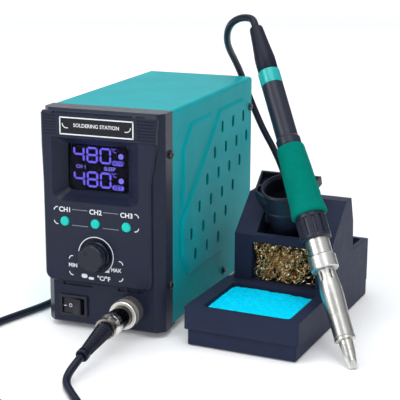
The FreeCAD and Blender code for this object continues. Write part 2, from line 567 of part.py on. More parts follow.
def main_board():
    z = 20.0
    board = box(-37, 37, 16, 84, z, z + 1.6)
    spots = [(x, y) for x in (-33, 33) for y in (20, 80)]
    for x, y in spots:
        board = board.cut(cylinder(1.6, 5, (x, y, z - 1), (0, 0, 1)))
    write("main_board", board)
    posts = [cylinder(3.0, z - 7.55, (x, y, 7.52), (0, 0, 1)) for x, y in spots]
    screws = [fuse([cylinder(1.45, 4, (x, y, z - 2.4), (0, 0, 1)),
                    cylinder(2.7, 1.6, (x, y, z + 1.6), (0, 0, 1))]) for x, y in spots]
    posts = [post.cut(cylinder(1.45, 6, (x, y, z - 2.4), (0, 0, 1))) for post, (x, y) in zip(posts, spots)]
    write("board_standoffs", posts)
    top = z + 1.6
    cans = [cylinder(r, h, (x, y, top), (0, 0, 1)) for x, y, r, h in
            ((-24, 34, 6.5, 25), (-9, 34, 6.5, 25), (-24, 52, 5.0, 16), (-11, 52, 5.0, 16))]
    fins = [box(4, 30, 30 + 5 * i, 32 + 5 * i, top + 3, top + 32) for i in range(7)]
    sink = fuse([box(4, 30, 30, 62, top, top + 3)] + fins)
    write("heat_sink", sink)
    devices = [box(x, x + 4.5, y, y + 10, top, top + 19) for x, y in ((31.5, 33), (31.5, 48))]
    write("board_components", cans + devices + [box(-30, -2, 70, 78, top, top + 10)])
    return screws


def fasteners():
    side = UNIT_HALF
    case_screws = []
    for s in (-1, 1):
        for y, z in ((-4.3, 125.6), (-5.2, 35.4), (161.0, 130.9), (102.1, 13.8)):
            case_screws.append(pan_screw((s * (side + 0.02), y, z), (s, 0, 0), length=5.5))
    write("case_screws", case_screws)
    feet, foot_screws = [], []
    for x in (-33, 33):
        for y in (14, 150):
            foot = turned([(0, 0), (6.0, 0), (7.0, COVER_BOTTOM + 0.28), (0, COVER_BOTTOM + 0.28)])
            well = cylinder(3.4, 3.0, (0, 0, -0.5), (0, 0, 1))
            hole = cylinder(1.5, 9, (0, 0, 0), (0, 0, 1))
            foot = foot.cut(well).cut(hole)
            foot.translate(Vector(x, y, 0))
            feet.append(foot)
            foot_screws.append(fuse([cylinder(2.8, 1.6, (x, y, 0.9), (0, 0, 1)),
                                     cylinder(1.45, 8.0, (x, y, 2.5), (0, 0, 1))]))
    write("rubber_feet", feet)
    return foot_screws


# ---------------------------------------------------------------- stand
def in_stand(shape):
    copy = shape.copy()
    frame = Placement(Vector(STAND_X, STAND_Y, 0), Rotation(Vector(0, 0, 1), STAND_YAW))
    copy.Placement = frame.multiply(copy.Placement)
    return copy


def holder_axis():
    tilt = math.radians(HOLDER_TILT)
    return Vector(0, -math.sin(tilt), math.cos(tilt))


def holder_point(depth):
    """Point of the holder's axis at a depth below its mouth, in the stand's frame."""
    return Vector(HOLDER_X, MOUTH_Y, MOUTH_Z) - holder_axis() * depth


def stand_base():
    block = rounded_slab(0, STAND_WIDTH, 0, STAND_LENGTH, (1.5,) * 4, on_level(1.0), (0, 0, BASE_TOP - 1.0))
    under = box(3, STAND_WIDTH - 3, 3, STAND_LENGTH - 3, 0, 8.0)
    web = [box(3, STAND_WIDTH - 3, y - 1.2, y + 1.2, 1.0, 8.5) for y in (52, 102)]
    return fuse([block.cut(under)] + web)


def stand_body():
    low, high = BASE_TOP, TRAY_TOP
    tray = rounded_slab(-TRAY_LIP, STAND_WIDTH + TRAY_LIP, -TRAY_LIP, FACE_Y + 4, (1.5,) * 4, on_level(low),
                        (0, 0, high - low))
    side = [(FACE_Y, low), (FACE_Y, FACE_TOP), (CHEEK_Y, CHEEK_TOP), (CHEEK_BACK, CHEEK_TOP), (114.0, 67.0),
            (115.5, 44.0), (STAND_LENGTH, 44.0), (STAND_LENGTH, low)]
    tower = prism([(TOWER_X0, y, z) for y, z in side], (STAND_WIDTH - TOWER_X0, 0, 0))
    skirt = box(0, STAND_WIDTH, FACE_Y, STAND_LENGTH, low, high)
    body = fuse([tray, tower, skirt])
    # sponge tray with a rounded inner outline
    cuts = [rounded_slab(8.5, 70.5, 4.5, 59.5, (3,) * 4, on_level(16.0), (0, 0, 20))]
    # brass wool chamber: its back wall leans with the holder's bore
    wool = [(FACE_Y - 1, 27.7), (FACE_Y - 1, 56.0), (77.5, 56.0), (88.5, 27.7)]
    cuts.append(prism([(17.5, y, z) for y, z in wool], (47.5, 0, 0)))
    # open saddle for the holder, between the cheeks
    cuts.append(box(HOLDER_X - SADDLE_HALF, HOLDER_X + SADDLE_HALF, FACE_Y + 2.0, 107.0, 57.6, 100))
    # bore for the hot end, below the holder
    axis = holder_axis()
    start = holder_point(20)
    cuts.append(cylinder(9.2, 58, tuple(start), tuple(-axis)))
    # tip box at the back
    cuts.append(rounded_slab(9.0, 72.5, 119.0, 149.5, (2.5,) * 4, on_level(18.0), (0, 0, 40)))
    # blind pivot holes, open to the saddle
    pivot = holder_point(PIVOT_DEPTH)
    cuts.append(cylinder(2.05, PIN_X1 - PIN_X0 + 0.1, (PIN_X0 - 0.05, pivot.y, pivot.z), (1, 0, 0)))
    # hollow underside
    cuts.append(box(4, STAND_WIDTH - 4, 4, FACE_Y - 8, low - 1, 13.0))
    for cut in cuts:
        body = body.cut(cut)
    return body


def holder_outline(offset):
    """Flange of the holder in its own plane (u right, v towards the back), shrunk by offset."""
    o = offset
    right = [(22.3 - o, 17.0 - o), (18.6 - o, -7.0), (11.0 - 0.6 * o, -13.0 + o)]
    return right + [(-u, v) for u, v in right[::-1]]


def iron_holder():
    """Flange with ribbed pockets around a funnel mouth, in the holder's own frame: Z along its axis."""
    plate = prism([(u, v, -6.5) for u, v in holder_outline(0)], (0, 0, 6.5))
    pocket = prism([(u, v, -5.0) for u, v in holder_outline(1.6)], (0, 0, 8.0))
    pocket = pocket.cut(cylinder(15.8, 20, (0, 0, -10), (0, 0, 1)))
    extras = []
    for side in (-1, 1):
        rib = box(-0.8, 0.8, 13, 30, -6, 2)
        rib.rotate(Vector(0, 0, 0), Vector(0, 0, 1), side * -92)
        pocket = pocket.cut(rib)
        # gusset from the flange down to the funnel
        corners = ((14.0, -5.5), (19.4, -5.5), (18.6, -10.5), (15.2, -18.0), (14.0, -18.0))
        extras.append(prism([(side * u, -5.2, z) for u, z in corners], (0, 2.4, 0)))
        extras.append(cylinder(4.6, SADDLE_HALF - 0.5, (0, 0, -PIVOT_DEPTH), (side, 0, 0)))
    funnel = turned([(0, 0.8), (15.0, 0.8), (15.8, 0.0), (15.8, -2.0), (15.2, -2.6), (15.2, -13.6),
                     (15.9, -14.2), (15.9, -15.8), (14.8, -16.6), (13.6, -27.0), (12.6, -35.0), (0, -35.0)])
    bore = turned([(0, 1.0), (14.2, 1.0), (MOUTH_RADIUS, -1.2), (MOUTH_RADIUS, -12.0), (10.6, -16.0),
                   (10.2, -37.0), (0, -37.0)])
    body = fuse([plate.cut(pocket), funnel] + extras).cut(bore)
    for side in (-1, 1):
        body = body.cut(cylinder(1.5, 12, (side * 11.7, 0, -PIVOT_DEPTH), (side, 0, 0)))
    return body.removeSplitter()


def in_holder(shape):
    copy = shape.copy()
    turn = Rotation(Vector(1, 0, 0), HOLDER_TILT)
    copy.Placement = Placement(Vector(HOLDER_X, MOUTH_Y, MOUTH_Z), turn).multiply(copy.Placement)
    return in_stand(copy)


def stand():
    write("stand_base", in_stand(stand_base()))
    write("stand_body", in_stand(stand_body()))
    feet = []
    for x in (9, STAND_WIDTH - 9):
        for y in (9, STAND_LENGTH - 9):
            feet.append(in_stand(cylinder(4.5, 8.0, (x, y, 0), (0, 0, 1))))
    write("stand_feet", feet)
    sponge = rounded_slab(9.6, 69.4, 5.6, 58.4, (2.5,) * 4, on_level(16.02), (0, 0, 10.3))
    write("sponge", in_stand(sponge))
    side = [(70.0, 28.3), (70.0, 55.3), (76.7, 55.3), (87.0, 28.3)]
    write("brass_wool", in_stand(prism([(18.2, y, z) for y, z in side], (46.1, 0, 0))))
    write("iron_holder", in_holder(iron_holder()))
    liner = tube([(10.1, -34.8), (10.1, -17.0)], [(8.9, -34.8), (8.9, -17.0)])
    write("holder_liner", in_holder(liner))
    pivot = holder_point(PIVOT_DEPTH)
    pins = []
    for side, x in ((-1, PIN_X0), (1, PIN_X1)):
        reach = abs(x - HOLDER_X)
        shank = cylinder(2.0, reach - SADDLE_HALF + 0.2, (x, pivot.y, pivot.z), (-side, 0, 0))
        core = cylinder(1.45, reach - 12.0, (x, pivot.y, pivot.z), (-side, 0, 0))
        pins.append(in_stand(shank.fuse(core)))
    write("holder_pivot_pins", pins)


# ---------------------------------------------------------------- iron
def iron_direction():
    azimuth, lean = math.radians(IRON_AZIMUTH), math.radians(IRON_LEAN)
    return Vector(math.cos(azimuth) * math.cos(lean), math.sin(azimuth) * math.cos(lean), math.sin(lean))


def in_iron(shape):
    return aimed(shape, tuple(IRON_TIP), tuple(iron_direction()))


def chisel_tip():
    body = turned([(0, 0.0), (2.2, 0.0), (3.0, 1.2), (4.1, 8.0), (4.7, 16.0), (4.7, 19.0), (7.1, 19.0),
                   (7.1, 20.6), (4.3, 20.6), (4.3, 62.0), (2.3, 62.0), (2.3, 24.0), (0, 22.0)])
    for side in (0, 180):
        wedge = prism([(-8, 0.5, -1), (-8, 6.5, 10.5), (-8, 8, -1)], (16, 0, 0))
        wedge.rotate(Vector(0, 0, 0), Vector(0, 0, 1), side + 35)
        body = body.cut(wedge)
    return body


def iron():
    write("iron_tip", in_iron(chisel_tip()))
    write("heater_core", in_iron(turned([(0, 24.5), (2.1, 24.5), (2.1, 104.0), (0, 104.0)])))
    sleeve = tube([(6.8, 20.65), (6.85, 35.2), (6.65, 35.5), (6.85, 35.8), (7.05, 40.0), (7.3, 45.5),
                   (7.4, 50.4), (7.2, 55.0), (6.7, 60.0), (6.3, 64.5), (6.3, 68.6), (6.9, 68.6), (6.9, 69.8)],
                  [(4.5, 20.65), (4.9, 36.0), (5.9, 50.0), (5.2, 66.0), (5.2, 69.8)])
    for i in range(6):
        slot = box(3, 9, -0.6, 0.6, 60.0, 66.0)
        slot.rotate(Vector(0, 0, 0), Vector(0, 0, 1), 60 * i + 12)
        sleeve = sleeve.cut(slot)
    write("barrel", in_iron(sleeve))
    nut = tube([(8.6, 67.4), (9.3, 68.1), (9.3, 76.6), (8.7, 77.4)],
               [(6.45, 67.4), (6.45, 68.55), (7.0, 68.55), (7.0, 77.4)])
    write("barrel_nut", in_iron(nut))
    steel = tube([(5.6, 69.9), (6.9, 69.9), (6.9, 77.5), (8.1, 77.5), (8.1, 88.5), (7.0, 88.5), (7.0, 96.0)],
                 [(4.6, 69.9), (4.6, 96.0)])
    write("steel_sleeve", in_iron(steel))
    flutes = fluted_cylinder(10.3, 1.1, 12, 91.0, 104.0, 0.42)
    ends = fuse([turned([(0, 88.6), (9.4, 88.6), (10.3, 89.5), (10.3, 91.05), (0, 91.05)]),
                 turned([(0, 103.9), (10.3, 103.9), (10.3, 106.3), (0, 106.3)])])
    hollow = turned([(0, 80), (7.65, 80), (7.65, 96.05), (7.5, 96.05), (7.5, 110), (0, 110)])
    write("fluted_nut", in_iron(fuse([flutes, ends]).cut(hollow)))
    handle = tube([(6.7, 96.1), (7.4, 96.1), (7.4, 158.6), (8.3, 158.6), (8.5, 159.2), (8.5, 164.0), (7.6, 165.6),
                   (7.6, 207.2)],
                  [(5.0, 96.1), (5.0, 207.2)])
    write("handle_tube", in_iron(handle))
    grip = tube([(8.0, 106.4), (11.9, 106.4), (12.3, 107.4), (12.1, 110.5), (11.4, 114.0), (11.2, 120.0),
                 (10.6, 138.0), (9.9, 152.0), (9.7, 157.2), (9.2, 158.3), (8.4, 158.5)],
                [(7.5, 106.4), (7.5, 158.5)])
    write("foam_grip", in_iron(grip))
    ring = tube([(7.5, 207.3), (7.7, 207.6), (7.7, 217.6), (7.5, 218.0)], [(5.0, 207.3), (5.0, 218.0)])
    write("handle_ring", in_iron(ring))
    boot = tube([(6.9, 218.1), (7.2, 227.0), (6.9, 231.0), (5.1, 249.0), (4.8, 253.2), (4.0, IRON_LENGTH)],
                [(CORD_RADIUS, 218.1), (CORD_RADIUS, IRON_LENGTH)])
    write("iron_boot", in_iron(boot))


# ---------------------------------------------------------------- cord
def cord_route():
    """The whole cord, from the iron's boot to the plug's boot, as the corners of its route.

    It leaves the iron in a free loop, hangs behind the unit down to the bench, lies in two slack
    folds there, runs along the unit's left side and comes round the front to the plug."""
    tail = IRON_TIP + iron_direction() * IRON_LENGTH
    boot_end = BOOT_ROOT + boot_direction() * (BOOT_LENGTH + 0.9)
    floor = CORD_RADIUS + 0.1
    loop = [(64.9, 99.9, 205.9), (59.3, 103.6, 206.3), (52.4, 108.4, 205.0), (45.2, 114.0, 201.4),
            (39.3, 121.6, 195.6), (35.0, 131.0, 188.6), (32.0, 141.5, 181.6), (30.5, 152.5, 174.6),
            (30.3, 163.5, 166.8), (31.3, 174.1, 156.4)]
    hang = [(34.0, 181.0, 142.5), (39.5, 184.0, 127.0), (48.0, 184.0, 109.0), (57.5, 183.5, 94.0),
            (66.0, 181.5, 78.0), (72.0, 179.0, 61.0), (74.0, 177.5, 44.0), (70.5, 178.5, 27.5),
            (61.0, 180.5, 14.0), (47.0, 182.5, 6.5), (31.0, 184.5, 3.2)]
    folds = [(14.0, 184.8), (-3.0, 186.5), (-17.5, 190.5), (-28.0, 200.0), (-31.5, 213.5), (-25.5, 226.5),
             (-12.5, 233.0), (3.0, 233.5), (17.0, 234.5), (30.0, 240.5), (35.9, 254.3), (31.1, 268.5),
             (18.0, 275.8), (1.0, 276.5), (-15.0, 274.0), (-31.0, 269.0), (-46.5, 258.0)]
    side = [(-57.0, 240.0), (-62.5, 217.0), (-62.5, 190.0), (-59.5, 160.0), (-57.5, 129.0), (-58.5, 97.0),
            (-58.2, 66.0), (-57.0, 37.0), (-60.0, 10.0), (-68.0, -14.0), (-75.5, -38.0), (-77.5, -62.0)]
    front = [(-72.0, -85.0), (-60.5, -105.5), (-43.5, -123.5), (-24.5, -139.5), (-5.0, -153.5),
             (11.0, -163.5), (25.0, -167.8), (37.8, -163.2), (44.6, -152.4), (42.2, -140.4),
             (34.2, -131.5), (26.4, -122.6)]
    rise = [(19.6, -114.2, 2.9), (16.6, -106.4, 5.2)]
    points = [tail, tail + iron_direction() * 4.6] + [Vector(*p) for p in loop + hang]
    points += [Vector(x, y, floor) for x, y in folds + side + front] + [Vector(*p) for p in rise]
    return points + [boot_end + boot_direction() * 6.0, boot_end]


LEAD_POINTS = 8              # corners of the route that move with the iron


def cord_path(points, label):
    """Wire of straight runs joined by tangent arcs, each as large as its two runs allow."""
    edges = []
    start = points[0]
    radii = []
    for before, corner, after in zip(points, points[1:], points[2:]):
        into = (corner - before)
        out = (after - corner)
        turn = into.getAngle(out)
        reach = 0.45 * min(into.Length, out.Length)
        radii.append(reach / math.tan(turn / 2))
        a = corner - into * (reach / into.Length)
        b = corner + out * (reach / out.Length)
        bisector = (out * (1 / out.Length) - into * (1 / into.Length))
        bisector.normalize()
        centre_distance = radii[-1] / math.cos(turn / 2)
        middle = corner + bisector * (centre_distance - radii[-1])
        edges.append(Part.LineSegment(start, a).toShape())
        edges.append(Part.Arc(a, middle, b).toShape())
        start = b
    edges.append(Part.LineSegment(start, points[-1]).toShape())
    wire = Part.Wire(edges)
    print("%s: length %.0f mm, radii %s" % (label, wire.Length, " ".join("%.0f" % r for r in radii)))
    return wire


def cord_tube(points, label):
    wire = cord_path(points, label)
    first = points[1] - points[0]
    circle = Part.Wire(Part.Circle(points[0], first, CORD_RADIUS).toShape())
    solid = wire.makePipeShell([circle], True, True)
    ideal = math.pi * CORD_RADIUS ** 2 * wire.Length
    print("%s: volume %.0f of %.0f mm3" % (label, solid.Volume, ideal))
    return solid


def cord():
    """The stretch that moves with the iron and the rest, cut in the middle of one straight run."""
    route = cord_route()
    cut = (route[LEAD_POINTS - 1] + route[LEAD_POINTS]) * 0.5
    write("iron_cord_lead", cord_tube(route[:LEAD_POINTS] + [cut], "lead"))
    write("iron_cord", cord_tube([cut] + route[LEAD_POINTS:], "cord"))


write("front_bezel", front_bezel())
write("name_plate", name_plate())
display()
buttons()
knob()
power_switch()
panel_socket()
plug()
cord_boot()
write("top_cover", top_cover())
chassis()
rear_fittings()
transformer()
write("machine_screws", main_board() + fasteners())
stand()
iron()
cord()

for name, solids, volume in written:
    print("%-24s %2d solids %10.1f mm3" % (name, solids, volume))
print(len(written), "nodes")
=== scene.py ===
"""Looks of the soldering station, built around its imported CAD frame.

Places are given in the bench frame of the CAD model, in millimetres: X right, Y away, Z up, the control
unit centred on X = 0 and the front edge of its cover at Y = 0.  at() turns them into the row's frame.
"""

import math
import random

import bmesh
import bpy
from mathutils import Matrix, Vector, noise


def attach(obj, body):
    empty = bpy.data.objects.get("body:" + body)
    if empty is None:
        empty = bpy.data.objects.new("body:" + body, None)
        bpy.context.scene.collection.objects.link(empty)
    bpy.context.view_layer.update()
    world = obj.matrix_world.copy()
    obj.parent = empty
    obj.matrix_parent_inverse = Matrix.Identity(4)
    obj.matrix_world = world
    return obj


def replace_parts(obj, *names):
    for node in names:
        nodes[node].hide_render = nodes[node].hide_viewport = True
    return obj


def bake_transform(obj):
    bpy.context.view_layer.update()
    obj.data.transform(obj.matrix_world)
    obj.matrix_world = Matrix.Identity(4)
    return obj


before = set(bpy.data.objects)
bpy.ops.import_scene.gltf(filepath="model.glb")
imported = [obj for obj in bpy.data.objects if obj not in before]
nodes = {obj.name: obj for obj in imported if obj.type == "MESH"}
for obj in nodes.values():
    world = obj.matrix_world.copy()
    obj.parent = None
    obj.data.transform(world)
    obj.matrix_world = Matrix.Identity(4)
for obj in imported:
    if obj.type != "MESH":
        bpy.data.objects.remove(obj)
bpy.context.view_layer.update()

MM = 0.001
CENTRE_X, CENTRE_Y = 66.3, 71.3
FASCIA_Y = -21.5             # face of the raised fascia
HEADER_Y = -22.1
LCD_Y = -10.45               # lit figures, just ahead of the display module
CONTROL_X, BUTTON_Z, BUTTON_PITCH, KNOB_Z = -3.6, 77.5, 22.7, 55.4
DIAL_RADIUS = 12.9           # printed arc round the knob
SWITCH = Vector((-22.15, -15.9, 16.9))       # the rocker's pivot
ROCKER_TILT = 11.0
SOCKET = Vector((20.5, -18.5, 19.3))
STAND = Vector((62.1, -20.2, 0.0))
STAND_YAW = -4.0
IRON_TIP = Vector((176.2, -22.4, 0.95))
IRON_AZIMUTH, IRON_LEAN, IRON_LENGTH = 132.2, 51.4, 255.0
CORD_RADIUS = 2.6
BOOT_DROP, BOOT_SWING, BOOT_LENGTH = 13.1, 3.0, 32.0
BOOT_ROOT = Vector((20.5, -59.5, 19.3))
BOOT_GAP = 0.9               # from the plug's clamp to the boot's start
CAMERA_PLACE = (333.547, -716.566, 290.540)
CAMERA_HEADING, CAMERA_TILT, CAMERA_ROLL = 20.66524641, 75.70389893, 0.20343586
CAMERA_LENS = 107.115

random.seed(7)


# ---------------------------------------------------------------- frames
def at(x, y, z):
    return Vector((x - CENTRE_X, y - CENTRE_Y, z)) * MM


def frame_at(origin, rotation):
    """Matrix that takes millimetres in a local frame into the row's frame, in metres."""
    return Matrix.Translation(at(*origin)) @ rotation.to_4x4() @ Matrix.Diagonal((MM, MM, MM, 1))


def pointing(direction):
    return Vector(direction).to_track_quat("Z", "Y").to_matrix()


def unit_vector(azimuth, lean):
    a, e = math.radians(azimuth), math.radians(lean)
    return Vector((math.cos(a) * math.cos(e), math.sin(a) * math.cos(e), math.sin(e)))


IRON_AXIS = unit_vector(IRON_AZIMUTH, IRON_LEAN)
IRON_FRAME = frame_at(IRON_TIP, pointing(IRON_AXIS))
STAND_FRAME = frame_at(STAND, Matrix.Rotation(math.radians(STAND_YAW), 3, "Z"))
BOOT_AXIS = unit_vector(270.0 - BOOT_SWING, -BOOT_DROP)
BOOT_FRAME = frame_at(BOOT_ROOT + BOOT_AXIS * BOOT_GAP, pointing(BOOT_AXIS))


# ---------------------------------------------------------------- material kit
class Shade:
    """A Principled material, with short ways to vary its colour, gloss and relief over the surface."""

    def __init__(self, name, **sockets):
        self.material = bpy.data.materials.new(name)
        self.material.use_nodes = True
        self.tree = self.material.node_tree
        self.tree.nodes.clear()
        output = self.node("ShaderNodeOutputMaterial")
        self.shader = self.node("ShaderNodeBsdfPrincipled")
        self.join(self.shader.outputs[0], output.inputs["Surface"])
        for key, value in sockets.items():
            self.shader.inputs[key.replace("_", " ")].default_value = value
        self.place = self.node("ShaderNodeTexCoord").outputs["Object"]
        self.normal = None

    def node(self, kind, **values):
        made = self.tree.nodes.new(kind)
        for key, value in values.items():
            setattr(made, key, value)
        return made

    def join(self, output, socket):
        self.tree.links.new(output, socket)

    def noise(self, size_mm, detail=2.0, rough=0.5, place=None, stretch=None):
        """Noise whose patches are about size_mm across."""
        made = self.node("ShaderNodeTexNoise")
        made.inputs["Scale"].default_value = 1.0 / (size_mm * MM)
        made.inputs["Detail"].default_value = detail
        made.inputs["Roughness"].default_value = rough
        source = place or self.place
        if stretch:
            scale = self.node("ShaderNodeVectorMath", operation="MULTIPLY")
            scale.inputs[1].default_value = stretch
            self.join(source, scale.inputs[0])
            source = scale.outputs[0]
        self.join(source, made.inputs["Vector"])
        return made.outputs["Fac"]

    def cells(self, size_mm, feature="F1"):
        made = self.node("ShaderNodeTexVoronoi", feature=feature)
        made.inputs["Scale"].default_value = 1.0 / (size_mm * MM)
        self.join(self.place, made.inputs["Vector"])
        return made.outputs["Distance"]

    def ramp(self, factor, *stops, steps=False):
        made = self.node("ShaderNodeValToRGB")
        made.color_ramp.interpolation = "CONSTANT" if steps else "LINEAR"
        elements = made.color_ramp.elements
        while len(elements) < len(stops):
            elements.new(0.5)
        for element, (position, colour) in zip(elements, stops):
            element.position = position
            element.color = (*colour, 1.0)
        self.join(factor, made.inputs["Fac"])
        return made.outputs["Color"]

    def span(self, factor, low, high, from_low=0.3, from_high=0.7):
        made = self.node("ShaderNodeMapRange")
        for key, value in zip(("From Min", "From Max", "To Min", "To Max"), (from_low, from_high, low, high)):
            made.inputs[key].default_value = value
        self.join(factor, made.inputs["Value"])
        return made.outputs["Result"]

    def math(self, operation, first, second):
        made = self.node("ShaderNodeMath", operation=operation)
        for socket, value in zip(made.inputs, (first, second)):
            if isinstance(value, (int, float)):
                socket.default_value = value
            else:
                self.join(value, socket)
        return made.outputs[0]

    def colour(self, output):
        self.join(output, self.shader.inputs["Base Color"])

    def rough(self, output):
        self.join(output, self.shader.inputs["Roughness"])

    def bevel(self, radius_mm):
        """Rounds sharp edges in shading, as a moulded or pressed part has them."""
        made = self.node("ShaderNodeBevel", samples=4)
        made.inputs["Radius"].default_value = radius_mm * MM
        self.normal = made.outputs[0]
        self.join(self.normal, self.shader.inputs["Normal"])

    def bump(self, height, depth_mm, strength=1.0):
        made = self.node("ShaderNodeBump")
        made.inputs["Distance"].default_value = depth_mm * MM
        made.inputs["Strength"].default_value = strength
        self.join(height, made.inputs["Height"])
        if self.normal:
            self.join(self.normal, made.inputs["Normal"])
        self.normal = made.outputs[0]
        self.join(self.normal, self.shader.inputs["Normal"])

    def along(self, direction, origin=(0, 0, 0)):
        """Distance along a line, in metres, at each point of the surface."""
        shift = self.node("ShaderNodeVectorMath", operation="SUBTRACT")
        shift.inputs[1].default_value = origin
        self.join(self.place, shift.inputs[0])
        dot = self.node("ShaderNodeVectorMath", operation="DOT_PRODUCT")
        dot.inputs[1].default_value = direction
        self.join(shift.outputs[0], dot.inputs[0])
        return dot.outputs["Value"]

    def rings(self, direction, origin, pitch_mm):
        """Fine turning marks: noise that changes only along the axis."""
        distance = self.along(direction, origin)
        vector = self.node("ShaderNodeCombineXYZ")
        self.join(distance, vector.inputs["X"])
        return self.noise(pitch_mm, 3.0, 0.6, vector.outputs[0])


def tint(colour, factor):
    return tuple(min(1.0, c * factor) for c in colour)


def moulded(name, colour, roughness, grain_mm=0.35, depth_mm=0.02, bevel_mm=0.35, gloss=0.25, **sockets):
    """Moulded plastic with a spark-eroded grain, faint clouding and rounded edges."""
    s = Shade(name, Specular_IOR_Level=gloss, **sockets)
    if bevel_mm:
        s.bevel(bevel_mm)
    cloud = s.noise(14.0, 3.0)
    s.colour(s.ramp(cloud, (0.3, tint(colour, 0.93)), (0.7, tint(colour, 1.08))))
    grain = s.noise(grain_mm, 2.0, 0.55)
    s.rough(s.span(s.noise(5.0, 4.0), roughness - 0.03, roughness + 0.03))
    s.bump(grain, depth_mm)
    return s.material


def metal(name, colour, low, high, scratch_mm=0.5, depth_mm=0.006, bevel_mm=0.12, stretch=(1, 1, 1)):
    """Metal with uneven polish and fine handling marks."""
    s = Shade(name, Metallic=1.0)
    if bevel_mm:
        s.bevel(bevel_mm)
    s.colour(s.ramp(s.noise(6.0, 4.0), (0.3, tint(colour, 0.86)), (0.7, tint(colour, 1.08))))
    s.rough(s.span(s.noise(2.2, 5.0, 0.65), low, high))
    s.bump(s.noise(scratch_mm, 4.0, 0.6, stretch=stretch), depth_mm)
    return s.material


def turned_metal(name, colour, low, high, direction, origin, pitch_mm=0.25, depth_mm=0.006, marks=(),
                 bevel_mm=0.2):
    """Lathe-turned metal; marks are (distance in mm, colour) stops along the axis: heat tint and painted
    shade.
    """
    s = Shade(name, Metallic=1.0)
    s.bevel(bevel_mm)
    rings = s.rings(direction, origin, pitch_mm)
    if marks:
        first, last = marks[0][0], marks[-1][0]
        distance = s.math("ADD", s.along(direction, origin), s.math("MULTIPLY", s.noise(5.0), 0.004))
        share = s.span(distance, 0.0, 1.0, (first + 2.0) * MM, (last + 2.0) * MM)
        s.colour(s.ramp(share, *[((d - first) / (last - first), c) for d, c in marks]))
    else:
        s.colour(s.ramp(rings, (0.3, tint(colour, 0.9)), (0.7, tint(colour, 1.05))))
    s.rough(s.span(s.math("ADD", s.math("MULTIPLY", rings, 0.6), s.math("MULTIPLY", s.noise(3.0, 4.0), 0.4)),
                   low, high))
    s.bump(rings, depth_mm)
    return s.material


def banded_metal(name, direction, origin, length_mm, bands, metallic=1.0):
    """Metal banded along its axis, some bands painted shade and reflection; bands are (start in mm, colour,
    roughness).
    """
    s = Shade(name, Metallic=metallic)
    s.bevel(0.15)
    distance = s.math("ADD", s.along(direction, origin), s.math("MULTIPLY", s.noise(3.0), 0.00002))
    share = s.span(distance, 0.0, 1.0, 0.0, length_mm * MM)
    s.colour(s.ramp(share, *[(start / length_mm, colour) for start, colour, _ in bands], steps=True))
    polish = s.ramp(share, *[(start / length_mm, (rough,) * 3) for start, _, rough in bands], steps=True)
    s.rough(s.math("ADD", polish, s.math("MULTIPLY", s.noise(1.5, 4.0), 0.06)))
    s.bump(s.noise(0.6, 3.0), 0.003)
    return s.material


def paint(material, *names):
    for name in names:
        slots = nodes[name].data.materials
        slots.clear()
        slots.append(material)


# ---------------------------------------------------------------- materials
def cover_paint():
    """Teal powder coat on pressed sheet: fine orange peel, faint clouding, soft pressed edges."""
    s = Shade("cover_paint", Specular_IOR_Level=0.045)
    s.bevel(0.5)
    base = (0.0, 0.345, 0.385)
    cloud = s.noise(30.0, 2.0)
    s.colour(s.ramp(cloud, (0.35, tint(base, 0.95)), (0.65, tint(base, 1.05))))
    s.rough(s.span(s.noise(1.2, 3.0), 0.36, 0.46))
    s.bump(s.noise(0.9, 2.0, 0.5), 0.02)
    return s.material


def glowing(name, colour, strength):
    s = Shade(name, Emission_Color=(*colour, 1.0), Emission_Strength=strength, Roughness=0.6)
    s.colour(s.ramp(s.noise(0.8, 1.0), (0.3, tint(colour, 0.1)), (0.7, tint(colour, 0.14))))
    return s.material


def display_face():
    s = Shade("display_face", Roughness=0.5, Specular_IOR_Level=0.02, Emission_Color=(0.02, 0.012, 0.09, 1.0),
              Emission_Strength=0.04)
    s.colour(s.ramp(s.noise(9.0, 1.0), (0.3, (0.001, 0.001, 0.004)), (0.7, (0.002, 0.002, 0.006))))
    return s.material


def lens_material():
    """Smoked window with faint wipe marks."""
    s = Shade("smoked_window", Transmission_Weight=1.0, IOR=1.12, Base_Color=(0.66, 0.64, 0.76, 1.0))
    s.rough(s.span(s.noise(6.0, 5.0, 0.7), 0.01, 0.05))
    return s.material


def printing_ink(name, colour):
    s = Shade(name, Roughness=0.5)
    s.colour(s.ramp(s.noise(0.5, 3.0), (0.3, tint(colour, 0.86)), (0.65, colour)))
    s.bump(s.noise(0.12, 1.0), 0.01)
    return s.material


def foam_material():
    """Closed-cell foam: fine open pores at the cut skin and a soft sheen."""
    s = Shade("grip_foam", Specular_IOR_Level=0.04, Sheen_Weight=0.06, Sheen_Roughness=0.5,
              Sheen_Tint=(0.1, 0.9, 0.7, 1.0))
    base = (0.0, 0.182, 0.142)
    pores = s.cells(0.42)
    s.colour(s.ramp(s.math("ADD", s.math("MULTIPLY", pores, 0.7), s.math("MULTIPLY", s.noise(7.0, 4.0), 0.5)),
                    (0.25, tint(base, 0.72)), (0.6, base), (0.9, tint(base, 1.12))))
    s.rough(s.span(s.noise(1.5, 3.0), 0.78, 0.95))
    s.bump(s.noise(0.28, 3.0, 0.6), 0.05)
    s.bump(pores, 0.06)
    return s.material


def sponge_material():
    s = Shade("sponge_cellulose", Subsurface_Weight=0.12, Subsurface_Scale=0.002, Roughness=0.85,
              Subsurface_Radius=(0.1, 0.8, 1.0), Specular_IOR_Level=0.05)
    base = (0.0, 0.60, 0.90)
    big, small = s.cells(3.4), s.cells(1.1)
    mix = s.math("ADD", s.math("MULTIPLY", big, 0.6), s.math("MULTIPLY", small, 0.5))
    s.colour(s.ramp(mix, (0.05, tint(base, 0.72)), (0.38, tint(base, 0.96)), (0.8, (0.0, 0.70, 1.0))))
    s.bump(s.noise(1.3, 4.0, 0.7), 0.28)
    s.bump(small, 0.15)
    return s.material


